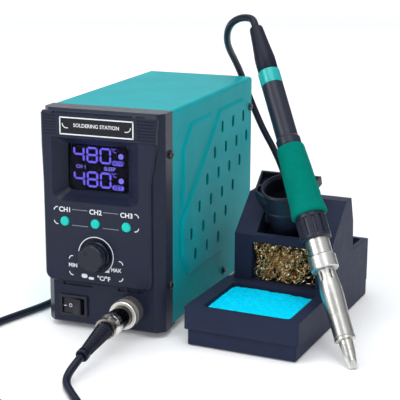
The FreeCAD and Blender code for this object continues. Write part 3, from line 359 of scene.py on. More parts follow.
def brass_curl_material():
    s = Shade("brass_turnings", Metallic=1.0)
    # random patches from dark brass to near white; the near-white stop is a painted highlight
    s.colour(s.ramp(s.noise(3.0, 3.0), (0.28, (0.20, 0.10, 0.03)), (0.40, (0.74, 0.45, 0.17)),
                    (0.58, (0.98, 0.78, 0.48)), (0.70, (0.94, 0.88, 0.78))))
    s.rough(s.span(s.noise(1.2, 3.0), 0.16, 0.34))
    s.bump(s.noise(0.3, 2.0), 0.02)
    return s.material


def rubber_material(name, colour, roughness):
    s = Shade(name, Specular_IOR_Level=0.22)
    s.colour(s.ramp(s.noise(8.0, 4.0), (0.3, tint(colour, 0.85)), (0.7, tint(colour, 1.2))))
    s.rough(s.span(s.noise(2.5, 4.0), roughness - 0.06, roughness + 0.08))
    s.bump(s.noise(0.25, 3.0), 0.012)
    return s.material


def board_material():
    s = Shade("circuit_board", IOR=1.5)
    tracks = s.cells(2.2, "DISTANCE_TO_EDGE")
    s.colour(s.ramp(tracks, (0.04, (0.01, 0.16, 0.06)), (0.08, (0.005, 0.09, 0.035))))
    s.rough(s.span(s.noise(4.0), 0.3, 0.42))
    s.bump(tracks, 0.03)
    return s.material


materials = {
    "cover": cover_paint(),
    "bezel": moulded("bezel_plastic", (0.0095, 0.014, 0.034), 0.33, 0.30, 0.008, 0.40, 0.24),
    "stand": moulded("stand_plastic", (0.0195, 0.0255, 0.056), 0.50, 0.45, 0.03, 0.45, 0.10),
    "holder": moulded("holder_plastic", (0.012, 0.015, 0.031), 0.36, 0.5, 0.015, 0.4, 0.35),
    "knob": moulded("knob_plastic", (0.0055, 0.0075, 0.020), 0.26, 0.25, 0.006, 0.35, 0.38),
    "switch": moulded("switch_plastic", (0.008, 0.0095, 0.018), 0.30, 0.3, 0.006, 0.3, 0.35),
    "handle": moulded("handle_plastic", (0.012, 0.0145, 0.031), 0.34, 0.4, 0.008, 0.3, 0.34),
    "plate": moulded("plate_plastic", (0.006, 0.007, 0.013), 0.34, 0.3, 0.004, 0.1, 0.25),
    "turquoise": moulded("turquoise_plastic", (0.0, 0.37, 0.36), 0.17, 0.3, 0.003, 0.35, 0.5),
    "button": moulded("button_plastic", (0.0, 0.56, 0.49), 0.40, 0.3, 0.006, 0.3, 0.35),
    "black": moulded("black_plastic", (0.012, 0.012, 0.016), 0.45, 0.4, 0.01, 0.2),
    "component": moulded("component_sleeve", (0.02, 0.02, 0.028), 0.35, 0.4, 0.005, 0.2),
    "window": lens_material(),
    "display": display_face(),
    "glow": glowing("lit_segments", (0.20, 0.155, 0.98), 1.2),
    "glow_dim": glowing("dim_segments", (0.22, 0.20, 0.72), 1.5),
    "white_ink": printing_ink("white_ink", (0.82, 0.84, 0.87)),
    "grey_ink": printing_ink("grey_ink", (0.30, 0.33, 0.38)),
    "dark_ink": printing_ink("dark_ink", (0.01, 0.008, 0.05)),
    "steel": metal("zinc_plated_steel", (0.42, 0.42, 0.43), 0.24, 0.42),
    "screw": metal("dark_screw_steel", (0.09, 0.085, 0.08), 0.16, 0.34, 0.4, 0.01),
    "nickel": metal("nickel_plate", (0.66, 0.62, 0.575), 0.10, 0.24, 0.5, 0.004),
    "aluminium": metal("extruded_aluminium", (0.70, 0.71, 0.73), 0.28, 0.42, 0.4, 0.01),
    "brass": metal("bright_brass", (0.80, 0.58, 0.24), 0.16, 0.30),
    "core": metal("core_laminations", (0.16, 0.16, 0.165), 0.35, 0.5, 0.5, 0.06, 0.1, (0.02, 1, 0.02)),
    "copper": metal("copper_winding", (0.60, 0.28, 0.10), 0.25, 0.40, 0.6, 0.08, 0.2, (0.05, 0.05, 1)),
    "board": board_material(),
    "boot": rubber_material("boot_rubber", (0.006, 0.008, 0.020), 0.44),
    "ribbed": rubber_material("ribbed_rubber", (0.0045, 0.0065, 0.018), 0.24),
    "cord": rubber_material("cord_rubber", (0.0085, 0.011, 0.026), 0.36),
    "feet": rubber_material("foot_rubber", (0.014, 0.014, 0.016), 0.62),
    "foam": foam_material(),
    "sponge": sponge_material(),
    "curls": brass_curl_material(),
}
AXIS, ORIGIN = tuple(IRON_AXIS), tuple(at(*IRON_TIP))
materials["barrel"] = turned_metal("barrel_steel", (0.52, 0.51, 0.49), 0.26, 0.38, AXIS, ORIGIN, 0.4, 0.002,
                                   bevel_mm=2.2)
# tip: tinned point, then near black from 24 mm back: painted shade on the shank inside the barrel, seen
# through its slots, and heat blackening on the bare shank
materials["tip"] = turned_metal(
    "tip_plating", (0.62, 0.60, 0.57), 0.24, 0.36, AXIS, ORIGIN, 0.4, 0.002,
    ((0.0, (0.78, 0.77, 0.75)), (7.0, (0.74, 0.73, 0.70)), (11.0, (0.62, 0.60, 0.57)),
     (20.0, (0.64, 0.62, 0.58)), (24.0, (0.03, 0.03, 0.035))))
materials["sleeve"] = turned_metal("sleeve_steel", (0.58, 0.57, 0.55), 0.24, 0.34, AXIS, ORIGIN, 0.5, 0.0015)
materials["collar"] = turned_metal("collar_steel", (0.62, 0.61, 0.60), 0.26, 0.40, AXIS, ORIGIN, 0.9, 0.08)

OUTWARD, SEAT = (0.0, -1.0, 0.0), tuple(at(*SOCKET))
# coupling nut: darker grey knurled band, polished nickel ring, then a near-black band from 13.2 to 13.9 mm
# that is a painted line of shade at the chamfer, then bright nickel
materials["coupling"] = banded_metal(
    "coupling_nickel", OUTWARD, SEAT, 20.0,
    ((0.0, (0.22, 0.215, 0.21), 0.40), (9.3, (0.86, 0.82, 0.78), 0.14), (13.2, (0.05, 0.05, 0.05), 0.35),
     (13.9, (0.88, 0.83, 0.77), 0.40)), 0.7)
# plug: the chrome barrel is painted near black, a painted reflection of the dark surroundings; from 29.8 mm
# the bright nickel end ring
materials["plug"] = banded_metal(
    "plug_chrome", OUTWARD, SEAT, 40.0,
    ((0.0, (0.045, 0.043, 0.042), 0.12), (29.8, (0.84, 0.80, 0.76), 0.16)))
materials["clamp"] = metal("clamp_nickel", (0.42, 0.38, 0.34), 0.22, 0.34, 0.5, 0.01)

FINISHES = {
    "cover": ["top_cover", "rear_panel"],
    "bezel": ["front_bezel"],
    "plate": ["name_plate"],
    "window": ["display_lens"],
    "display": ["display_module"],
    "board": ["display_board", "main_board"],
    "button": ["button_1", "button_2", "button_3"],
    "component": ["tact_switches", "board_components"],
    "knob": ["control_knob"],
    "nickel": ["knob_shaft", "potentiometer_nut", "panel_socket", "socket_nut"],
    "clamp": ["cord_clamp", "cord_clamp_screws"],
    "screw": ["case_screws"],
    "steel": ["potentiometer", "chassis_base", "transformer_strap", "machine_screws"],
    "switch": ["power_switch_body", "power_switch_rocker"],
    "black": ["socket_insert", "mains_inlet", "fuse_holder"],
    "coupling": ["coupling_nut"],
    "plug": ["plug_body"],
    "brass": ["plug_insert", "inlet_blades", "board_standoffs", "holder_liner"],
    "core": ["transformer_core", "heater_core"],
    "copper": ["transformer_winding"],
    "aluminium": ["heat_sink"],
    "feet": ["rubber_feet", "stand_feet"],
    "stand": ["stand_base", "stand_body"],
    "holder": ["iron_holder", "holder_pivot_pins"],
    "tip": ["iron_tip"],
    "barrel": ["barrel"],
    "collar": ["barrel_nut"],
    "sleeve": ["steel_sleeve"],
    "handle": ["fluted_nut", "handle_tube"],
    "turquoise": ["handle_ring"],
}
for finish, members in FINISHES.items():
    paint(materials[finish], *members)


# ---------------------------------------------------------------- piece kit
def piece(name, mesh_or_bm, material, body, smooth=True):
    """Puts a mesh in row coordinates into the scene as one piece that rides on a body."""
    mesh = mesh_or_bm
    if isinstance(mesh_or_bm, bmesh.types.BMesh):
        mesh = bpy.data.meshes.new(name)
        bmesh.ops.recalc_face_normals(mesh_or_bm, faces=mesh_or_bm.faces[:])
        mesh_or_bm.to_mesh(mesh)
        mesh_or_bm.free()
    mesh.polygons.foreach_set("use_smooth", [smooth] * len(mesh.polygons))
    mesh.materials.clear()
    mesh.materials.append(materials[material])
    made = bpy.data.objects.new(name, mesh)
    bpy.context.scene.collection.objects.link(made)
    if body:
        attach(made, body)
    return made


def lathe(bm, profile, matrix, steps=64):
    """Closed surface of revolution about local Z through (radius, height) points, in a local frame."""
    rings = []
    for radius, height in profile:
        ring = [bm.verts.new(matrix @ Vector((radius * math.cos(a), radius * math.sin(a), height)))
                for a in (2 * math.pi * i / steps for i in range(steps))]
        rings.append(ring)
    closed = rings + [rings[0]]
    for low, high in zip(closed, closed[1:]):
        for i in range(steps):
            j = (i + 1) % steps
            bm.faces.new((low[i], low[j], high[j], high[i]))
    return rings


def plate(bm, outline, y, thickness=0.06):
    """Thin flat shape facing the front: (x, z) outline in bench millimetres, its face at Y = y."""
    face = [bm.verts.new(at(x, y, z)) for x, z in outline]
    back = [bm.verts.new(at(x, y + thickness, z)) for x, z in outline]
    bm.faces.new(face)
    bm.faces.new(back[::-1])
    for i in range(len(face)):
        j = (i + 1) % len(face)
        bm.faces.new((face[i], back[i], back[j], face[j]))


def stroke(bm, start, end, width, y):
    (x0, z0), (x1, z1) = start, end
    length = math.hypot(x1 - x0, z1 - z0)
    dx, dz = -(z1 - z0) / length * width / 2, (x1 - x0) / length * width / 2
    plate(bm, [(x0 + dx, z0 + dz), (x0 - dx, z0 - dz), (x1 - dx, z1 - dz), (x1 + dx, z1 + dz)], y)


def arc(bm, centre, radius, first, last, width, y, steps=24):
    """Ring sector from angle first to last, in degrees, drawn as one thin strip."""
    angles = [math.radians(first + (last - first) * i / steps) for i in range(steps + 1)]
    outer = [(centre[0] + (radius + width / 2) * math.cos(a), centre[1] + (radius + width / 2) * math.sin(a))
             for a in angles]
    inner = [(centre[0] + (radius - width / 2) * math.cos(a), centre[1] + (radius - width / 2) * math.sin(a))
             for a in angles]
    for i in range(steps):
        plate(bm, [outer[i], inner[i], inner[i + 1], outer[i + 1]], y)


def pill(bm, centre, width, height, y, steps=8):
    r = height / 2
    half = width / 2 - r
    points = []
    for side, first in ((1, -90), (-1, 90)):
        for i in range(steps + 1):
            a = math.radians(first + 180 * i / steps)
            points.append((centre[0] + side * half + r * math.cos(a), centre[1] + r * math.sin(a)))
    plate(bm, points, y)


def text(bm, words, height, centre, y, bold=0.0, width=1.0, matrix=None):
    """Adds lettering whose capitals are height mm tall, centred on (x, z), to a mesh."""
    curve = bpy.data.curves.new("lettering", "FONT")
    curve.body = words
    curve.size = height * 1.38 * MM
    curve.offset = bold * MM
    curve.extrude = 0.03 * MM
    curve.align_x = "CENTER"
    curve.align_y = "CENTER"
    curve.resolution_u = 4
    holder = bpy.data.objects.new("lettering", curve)
    bpy.context.scene.collection.objects.link(holder)
    bpy.context.view_layer.update()
    shape = bpy.data.meshes.new_from_object(holder.evaluated_get(bpy.context.evaluated_depsgraph_get()))
    turn = Matrix.Rotation(math.radians(90), 4, "X") @ Matrix.Diagonal((width, 1, 1, 1))
    shape.transform((matrix or Matrix.Translation(at(centre[0], y, centre[1]))) @ turn)
    bm.from_mesh(shape)
    bpy.data.objects.remove(holder)
    bpy.data.curves.remove(curve)
    bpy.data.meshes.remove(shape)


# ---------------------------------------------------------------- cord
def cord_route():
    """Corners of the cord's route in bench millimetres, from the iron's boot to the plug's boot."""
    tail = IRON_TIP + IRON_AXIS * IRON_LENGTH
    boot_end = BOOT_ROOT + BOOT_AXIS * (BOOT_LENGTH + BOOT_GAP)
    floor = CORD_RADIUS + 0.1
    loop = [(64.9, 99.9, 205.9), (59.3, 103.6, 206.3), (52.4, 108.4, 205.0), (45.2, 114.0, 201.4),
            (39.3, 121.6, 195.6), (35.0, 131.0, 188.6), (32.0, 141.5, 181.6), (30.5, 152.5, 174.6),
            (30.3, 163.5, 166.8), (31.3, 174.1, 156.4)]
    hang = [(34.0, 181.0, 142.5), (39.5, 184.0, 127.0), (48.0, 184.0, 109.0), (57.5, 183.5, 94.0),
            (66.0, 181.5, 78.0), (72.0, 179.0, 61.0), (74.0, 177.5, 44.0), (70.5, 178.5, 27.5),
            (61.0, 180.5, 14.0), (47.0, 182.5, 6.5), (31.0, 184.5, 3.2)]
    folds = [(14.0, 184.8), (-3.0, 186.5), (-17.5, 190.5), (-28.0, 200.0), (-31.5, 213.5), (-25.5, 226.5),
             (-12.5, 233.0), (3.0, 233.5), (17.0, 234.5), (30.0, 240.5), (35.9, 254.3), (31.1, 268.5),
             (18.0, 275.8), (1.0, 276.5), (-15.0, 274.0), (-31.0, 269.0), (-46.5, 258.0)]
    side = [(-57.0, 240.0), (-62.5, 217.0), (-62.5, 190.0), (-59.5, 160.0), (-57.5, 129.0), (-58.5, 97.0),
            (-58.2, 66.0), (-57.0, 37.0), (-60.0, 10.0), (-68.0, -14.0), (-75.5, -38.0), (-77.5, -62.0)]
    front = [(-72.0, -85.0), (-60.5, -105.5), (-43.5, -123.5), (-24.5, -139.5), (-5.0, -153.5),
             (11.0, -163.5), (25.0, -167.8), (37.8, -163.2), (44.6, -152.4), (42.2, -140.4),
             (34.2, -131.5), (26.4, -122.6)]
    rise = [(19.6, -114.2, 2.9), (16.6, -106.4, 5.2)]
    corners = [tail, tail + IRON_AXIS * 4.6] + [Vector(p) for p in loop + hang]
    corners += [Vector((x, y, floor)) for x, y in folds + side + front] + [Vector(p) for p in rise]
    return corners + [boot_end + BOOT_AXIS * 6.0, boot_end]


def spline_points(corners):
    """Points along the smooth NURBS spline that has the corners as its control points."""
    curve = bpy.data.curves.new("route", "CURVE")
    curve.dimensions = "3D"
    curve.resolution_u = 8
    spline = curve.splines.new("NURBS")
    spline.points.add(len(corners) - 1)
    for point, corner in zip(spline.points, corners):
        point.co = (*at(*corner), 1.0)
    spline.order_u = 3
    spline.use_endpoint_u = True
    holder = bpy.data.objects.new("route", curve)
    bpy.context.scene.collection.objects.link(holder)
    bpy.context.view_layer.update()
    shape = bpy.data.meshes.new_from_object(holder.evaluated_get(bpy.context.evaluated_depsgraph_get()))
    points = [v.co.copy() for v in shape.vertices]
    bpy.data.objects.remove(holder)
    bpy.data.curves.remove(curve)
    bpy.data.meshes.remove(shape)
    return points


def swept_tube(path, radius, steps=20):
    """Round tube along a path, its section carried along without twist, with flat caps at the ends."""
    bm = bmesh.new()
    tangent = (path[1] - path[0]).normalized()
    side = tangent.orthogonal().normalized()
    rings = []
    for i, point in enumerate(path):
        ahead = (path[min(i + 1, len(path) - 1)] - path[max(i - 1, 0)]).normalized()
        side = (side - ahead * side.dot(ahead)).normalized()
        up = ahead.cross(side)
        rings.append([bm.verts.new(point + (side * math.cos(a) + up * math.sin(a)) * radius)
                      for a in (2 * math.pi * k / steps for k in range(steps))])
    for low, high in zip(rings, rings[1:]):
        for k in range(steps):
            m = (k + 1) % steps
            bm.faces.new((low[k], low[m], high[m], high[k]))
    bm.faces.new(rings[0][::-1])
    bm.faces.new(rings[-1])
    return bm


def ribbed_profile(length, r_root, r_end, ribs, groove, plain_root, plain_end, lip, bore):
    """Tapered strain relief with rounded ring ribs, as (radius, height) points from the bore round."""
    points = [(bore, 0.0), (r_root - 0.3, 0.0), (r_root, 0.3), (r_root, plain_root)]
    run = length - plain_root - plain_end
    samples = 10
    for i in range(ribs * samples + 1):
        t = i / (ribs * samples)
        phase = (i % samples) / samples
        dip = groove * max(0.0, math.sin(math.pi * phase)) ** 0.7
        points.append((r_root + (r_end - r_root) * t - dip, plain_root + run * t))
    top = length - plain_end
    points += [(r_end, top), (r_end + lip, top + 0.5), (r_end + lip, length - 0.7),
               (r_end + lip - 0.5, length), (bore, length)]
    return points


def plug_boot():
    bm = bmesh.new()
    profile = ribbed_profile(BOOT_LENGTH, 5.7, 3.85, 12, 0.95, 1.6, 4.6, 0.45, CORD_RADIUS)
    lathe(bm, profile, BOOT_FRAME, 72)
    made = piece("plug_boot", bm, "ribbed", "station")
    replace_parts(made, "cord_boot")
    return made


def cord():
    path = spline_points(cord_route())
    made = piece("iron_cord_jacket", swept_tube(path, CORD_RADIUS * MM), "cord", None)
    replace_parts(made, "iron_cord", "iron_cord_lead")
    boot = plug_boot()
    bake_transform(made)


cord()


# ---------------------------------------------------------------- printing on the front
def corner_bracket(bm, x, z, right, top, y, radius=2.4, leg=0.5, width=0.6):
    """Quarter-round bracket that frames a group of controls."""
    sx, sz = (-1 if right else 1), (-1 if top else 1)
    centre = (x + sx * radius, z + sz * radius)
    first = {(False, True): 90, (True, True): 0, (False, False): 180, (True, False): 270}[(right, top)]
    arc(bm, centre, radius, first, first + 90, width, y, 8)
    stroke(bm, (centre[0], z), (centre[0] + sx * leg, z), width, y)


def fascia_printing():
    y = FASCIA_Y - 0.05
    white, grey = bmesh.new(), bmesh.new()
    for i in (-1, 0, 1):
        text(white, "CH%d" % (i + 2), 3.4, (CONTROL_X + 0.3 + i * BUTTON_PITCH, BUTTON_Z + 8.0), y, 0.1, 1.02)
    for i in (-1, 1):
        middle = CONTROL_X + i * BUTTON_PITCH / 2
        stroke(grey, (middle - 5.6, BUTTON_Z + 8.6), (middle + 5.6, BUTTON_Z + 8.6), 0.35, y)
        stroke(grey, (middle - 5.9, BUTTON_Z - 2.4), (middle + 5.9, BUTTON_Z - 2.4), 0.35, y)
    for right, x in ((False, -34.2), (True, 28.0)):
        corner_bracket(white, x, BUTTON_Z + 9.6, right, True, y)
        corner_bracket(white, x, BUTTON_Z - 2.4, right, False, y)
    corner_bracket(white, -23.6, 53.6, False, True, y)
    corner_bracket(white, -23.6, 39.9, False, False, y)
    corner_bracket(white, 16.2, 53.2, True, True, y)
    corner_bracket(white, 16.2, 39.3, True, False, y)
    arc(white, (CONTROL_X, KNOB_Z), DIAL_RADIUS, -46, 172, 0.6, y, 60)
    end = math.radians(-52)
    tip_x, tip_z = CONTROL_X + DIAL_RADIUS * math.cos(end), KNOB_Z + DIAL_RADIUS * math.sin(end)
    plate(white, [(tip_x + 1.9, tip_z + 1.9), (tip_x - 1.6, tip_z - 0.9), (tip_x + 1.9, tip_z - 0.9)], y)
    text(white, "MIN", 2.7, (-20.9, 46.8), y, 0.1, 0.98)
    text(white, "MAX", 2.7, (11.2, 46.6), y, 0.12, 0.92)
    text(white, "°C/°F", 3.1, (2.0, 39.6), y, 0.14, 1.02)
    pill(white, (-12.4, 40.1), 4.5, 2.9, y)
    pill(white, (-7.3, 38.9), 4.1, 1.9, y)
    piece("fascia_printing", white, "white_ink", "station", smooth=False)
    piece("fascia_lines", grey, "grey_ink", "station", smooth=False)


def plate_printing():
    y = HEADER_Y + 0.04
    bm = bmesh.new()
    x0, x1, z0, z1 = -28.0, 24.9, 137.7, 148.9
    for start, end in (((x0, z0), (x1, z0)), ((x0, z1), (x1, z1))):
        stroke(bm, (start[0] - 0.4, start[1]), (end[0] + 0.4, end[1]), 0.85, y)
    for x in (x0, x1):
        stroke(bm, (x, z0), (x, z1), 0.85, y)
    corner_bracket(bm, x0 + 1.7, z0 + 4.2, False, False, y, 3.0, 1.2, 0.55)
    corner_bracket(bm, x1 - 1.7, z0 + 4.2, True, False, y, 3.0, 1.2, 0.55)
    text(bm, "SOLDERING STATION", 2.5, (-1.5, 143.9), y, 0.045, 0.98)
    piece("plate_printing", bm, "white_ink", "station", smooth=False)


def rocker_marks():
    """I and O marks, lying on the pressed-in half of the rocker."""
    bm = bmesh.new()
    turn = Matrix.Translation(at(*SWITCH)) @ Matrix.Rotation(math.radians(-ROCKER_TILT), 4, "Z")
    slope = math.atan2(1.05, 5.5)
    lay = turn @ Matrix.Translation(Vector((-2.6, -4.87, 0)) * MM) @ Matrix.Rotation(slope, 4, "Z")
    for words, x, height, width in (("-", -2.7, 3.2, 1.9), ("O", 1.5, 2.8, 0.8)):
        text(bm, words, height, (0, 0), 0, 0.0, width, lay @ Matrix.Translation(Vector((x, -0.05, 0)) * MM))
    piece("rocker_marks", bm, "white_ink", "rocker", smooth=False)


# which of the seven strokes are lit: top, upper right, lower right, bottom, lower left, upper left, middle
DIGITS = {"4": (1, 2, 5, 6), "8": (0, 1, 2, 3, 4, 5, 6), "0": (0, 1, 2, 3, 4, 5)}


def segment(bm, start, end, width, y):
    """One display stroke with pointed ends."""
    (x0, z0), (x1, z1) = start, end
    length = math.hypot(x1 - x0, z1 - z0)
    ux, uz = (x1 - x0) / length, (z1 - z0) / length
    h = width / 2
    points = [(0, 0), (h, h), (length - h, h), (length, 0), (length - h, -h), (h, -h)]
    plate(bm, [(x0 + a * ux - b * uz, z0 + a * uz + b * ux) for a, b in points], y, 0.05)


def display_figures():
    bright, dim = bmesh.new(), bmesh.new()
    width, height, stroke_width, gap = 7.0, 9.6, 1.45, 0.22
    for top in (127.0, 110.2):
        for figure, left in (("4", -23.6), ("8", -13.8), ("0", -4.0)):
            x0, x1, z0, z1 = left, left + width, top - height, top
            mid = (z0 + z1) / 2
            strokes = [((x0, z1), (x1, z1)), ((x1, z1), (x1, mid)), ((x1, mid), (x1, z0)),
                       ((x0, z0), (x1, z0)), ((x0, mid), (x0, z0)), ((x0, z1), (x0, mid)),
                       ((x0, mid), (x1, mid))]
            for i in DIGITS[figure]:
                (a0, b0), (a1, b1) = strokes[i]
                length = math.hypot(a1 - a0, b1 - b0)
                ux, uz = (a1 - a0) / length * gap, (b1 - b0) / length * gap
                segment(bright, (a0 + ux, b0 + uz), (a1 - ux, b1 - uz), stroke_width, LCD_Y)
        text(bright, "°C", 2.9, (5.6, top - 0.9), LCD_Y, 0.06, 0.9)
        arc(dim, (10.9, top - 4.4), 0.95, 0, 360, 1.9, LCD_Y, 16)
        arc(bright, (10.9, top - 4.4), 0.35, 0, 360, 0.7, LCD_Y - 0.03, 12)
        pill(bright, (8.6, top - 9.2), 8.6, 3.4, LCD_Y)
    text(dim, "CH 1", 2.5, (-18.6, 113.6), LCD_Y, 0.07, 1.0)
    text(dim, "SLEEP", 2.5, (2.6, 113.4), LCD_Y, 0.07, 1.0)
    dark = bmesh.new()
    text(dark, "SET", 2.5, (8.6, 101.0), LCD_Y - 0.04, 0.06, 1.1)
    text(dark, "NOW", 2.5, (8.6, 117.8), LCD_Y - 0.04, 0.06, 1.1)
    piece("display_figures", bright, "glow", "station", smooth=False)
    piece("display_captions", dim, "glow_dim", "station", smooth=False)
    piece("display_pill_words", dark, "dark_ink", "station", smooth=False)


fascia_printing()
plate_printing()
rocker_marks()
display_figures()


# ---------------------------------------------------------------- iron's rear boot
def rear_boot():
    """Smooth rubber boot: straight over the handle's end, then drawn in to a rounded collar at the cord."""
    outer = [(6.8, 218.1), (7.15, 218.6), (7.25, 227.0), (7.1, 230.0), (6.7, 233.5), (5.9, 241.0),
             (5.25, 248.5), (4.95, 252.3), (4.7, 253.9), (4.2, 254.7), (3.5, IRON_LENGTH)]
    bm = bmesh.new()
    lathe(bm, [(CORD_RADIUS, 218.1)] + outer + [(CORD_RADIUS, IRON_LENGTH)], IRON_FRAME, 72)
    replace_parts(piece("rear_boot", bm, "boot", "iron"), "iron_boot")


# ---------------------------------------------------------------- foam grip
def foam_grip():
    """Swollen foam sleeve: flared at the nut, drawn in towards the tail, its skin a little uneven."""
    outer = [(8.1, 106.5), (11.2, 106.5), (12.0, 106.8), (12.35, 107.6), (12.3, 109.0), (11.9, 111.5),
             (11.5, 114.5), (11.35, 118.0), (11.25, 123.0), (11.0, 130.0), (10.65, 138.0), (10.25, 146.0),
             (9.95, 152.0), (9.75, 156.0), (9.45, 157.8), (8.9, 158.4), (8.4, 158.5)]
    profile = [(7.52, 106.5)] + outer + [(7.52, 158.5)]
    dense = []
    for (r0, h0), (r1, h1) in zip(profile, profile[1:]):
        count = max(1, int(abs(h1 - h0) / 0.9))
        dense += [(r0 + (r1 - r0) * k / count, h0 + (h1 - h0) * k / count) for k in range(count)]
    dense.append(profile[-1])
    bm = bmesh.new()
    rings = lathe(bm, dense, Matrix.Identity(4), 96)
    for (radius, _), ring in zip(dense, rings):
        if radius > 8.6:
            for v in ring:
                swell = noise.noise(v.co * 0.16) * 0.16 + noise.noise(v.co * 0.9) * 0.05
                outward = Vector((v.co.x, v.co.y, 0)).normalized()
                v.co += outward * (swell - 0.06)
    bm.transform(IRON_FRAME)
    made = piece("foam_sleeve", bm, "foam", "iron")
    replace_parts(made, "foam_grip")


# ---------------------------------------------------------------- sponge
def sponge_edge(angle):
    """How far the torn edge stands in from the tray's wall, in millimetres, at an angle round it."""
    place = Vector((math.cos(angle) * 2.2, math.sin(angle) * 2.2, 0.0))
    return 0.25 + 0.8 * abs(noise.noise(place * 1.4)) + 0.7 * abs(noise.noise(place * 6.0))


def sponge_pad():
    """Damp cellulose pad: flat below, its edge torn, swollen most at the back on the left."""
    x0, x1, y0, y1, floor = 8.9, 70.1, 4.9, 59.1, 16.1
    columns, rows = 120, 106
    bm = bmesh.new()

    def plan(u, v):
        """Square u, v in -1..1 to the pad's plan, with rounded corners and the torn edge."""
        reach = max(abs(u), abs(v))
        round_off = (abs(u) ** 14 + abs(v) ** 14) ** (1 / 14) if reach > 0 else 1.0
        scale = reach / round_off
        inset = sponge_edge(math.atan2(v, u))
        half_x, half_y = (x1 - x0) / 2 - inset, (y1 - y0) / 2 - inset
        if v > 0:
            half_y -= 1.1 * v * (0.5 + 0.5 * u) + 2.6 * v * abs(noise.noise(Vector((u * 5.3, 4.7, 0))))
        return (x0 + x1) / 2 + u * scale * half_x, (y0 + y1) / 2 + v * scale * half_y

    def height(u, v, x, y):
        rim = max(abs(u), abs(v))
        slope = 0.9 * (0.5 + 0.5 * v) * (0.5 - 0.5 * u)
        waves = noise.noise(Vector((x, y, 0)) * 0.07) * 0.5 + noise.noise(Vector((x, y, 5)) * 0.3) * 0.25
        pores = noise.noise(Vector((x, y, 9)) * 1.6) * 0.16
        torn = 1.1 * max(0.0, (rim - 0.94) / 0.06) ** 2 * (0.5 + abs(noise.noise(Vector((x, y, 2)) * 0.35)))
        return 25.2 + slope + waves + pores - torn

    grids = {}
    for side in ("top", "bottom"):
        grid = []
        for j in range(rows + 1):
            line = []
            for i in range(columns + 1):
                u, v = 2 * i / columns - 1, 2 * j / rows - 1
                if u == 0 and v == 0:
                    u = 1e-6
                x, y = plan(u, v)
                z = height(u, v, x, y) if side == "top" else floor
                line.append(bm.verts.new((x, y, z)))
            grid.append(line)
        grids[side] = grid
        for j in range(rows):
            for i in range(columns):
                bm.faces.new((grid[j][i], grid[j][i + 1], grid[j + 1][i + 1], grid[j + 1][i]))
    border = [(0, i) for i in range(columns)] + [(j, columns) for j in range(rows)]
    border += [(rows, i) for i in range(columns, 0, -1)] + [(j, 0) for j in range(rows, 0, -1)]
    top, bottom = grids["top"], grids["bottom"]
    for (j0, i0), (j1, i1) in zip(border, border[1:] + border[:1]):
        bm.faces.new((top[j0][i0], top[j1][i1], bottom[j1][i1], bottom[j0][i0]))
    bm.transform(STAND_FRAME)
    made = piece("sponge_pad", bm, "sponge", "sponge_pad")
    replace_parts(made, "sponge")


# ---------------------------------------------------------------- brass wool
def wool_back(z):
    """Depth of the chamber's leaning back wall at a height, in the stand's frame."""
    low, high = (28.3, 87.0), (55.3, 76.7)
    t = (z - low[0]) / (high[0] - low[0])
    return low[1] + (high[1] - low[1]) * t


def inside_wool(p, margin=0.35):
    if not (18.0 + margin < p.x < 64.4 - margin and 28.0 + margin < p.z < 55.6 - margin):
        return False
    return 69.6 < p.y < wool_back(p.z) - margin


def curl(bm, start, heading, length, coil, pitch, width):
    """One flat turning: a ribbon that winds round a wandering line."""
    step = 0.45
    heading = heading.normalized()
    side = heading.orthogonal().normalized()
    centre = start.copy()
    phase = random.uniform(0, 2 * math.pi)
    last = None
    for k in range(int(length / step)):
        drift = Vector((noise.noise(centre * 0.22), noise.noise(centre * 0.22 + Vector((9, 2, 5))),
                        noise.noise(centre * 0.22 + Vector((3, 8, 1)))))
        heading = (heading + drift * 0.22).normalized()
        side = (side - heading * side.dot(heading)).normalized()
        up = heading.cross(side)
        angle = phase + 2 * math.pi * k * step / pitch
        radial = side * math.cos(angle) + up * math.sin(angle)
        point = centre + radial * coil
        if not inside_wool(point):
            last = None
            centre += heading * step * 0.8
            if not inside_wool(centre, -1.5):
                middle = Vector((41.2, 75.5, 41.8))
                heading = (middle - centre).normalized()
            continue
        edge = (heading * 0.75 + radial * 0.66).normalized() * (width / 2)
        pair = [bm.verts.new(point - edge), bm.verts.new(point + edge)]
        if last:
            bm.faces.new((last[0], last[1], pair[1], pair[0]))
        last = pair
        centre += heading * step * 0.8


def brass_wool():
    """Loose curled turnings that fill the chamber and show at its mouth."""
    bm = bmesh.new()
    for k in range(165):
        front = random.random() < 0.75
        z = random.uniform(29.2, 54.4)
        y = random.uniform(69.9, 72.6) if front else random.uniform(71.0, wool_back(z) - 1.0)
        start = Vector((random.uniform(19.0, 63.4), y, z))
        heading = Vector((random.uniform(-1, 1), random.uniform(-0.35, 0.35), random.uniform(-1, 1)))
        if heading.length < 0.1:
            heading = Vector((1, 0, 0))
        curl(bm, start, heading, random.uniform(26, 64), random.uniform(0.9, 3.0), random.uniform(6.0, 15.0),
             random.uniform(0.35, 0.8))
    loose = [v for v in bm.verts if not v.link_faces]
    bmesh.ops.delete(bm, geom=loose, context="VERTS")
    bmesh.ops.solidify(bm, geom=bm.faces[:], thickness=0.05)
    bm.transform(STAND_FRAME)
    made = piece("brass_turnings", bm, "curls", "station", smooth=False)
    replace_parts(made, "brass_wool")


rear_boot()
foam_grip()
sponge_pad()
brass_wool()


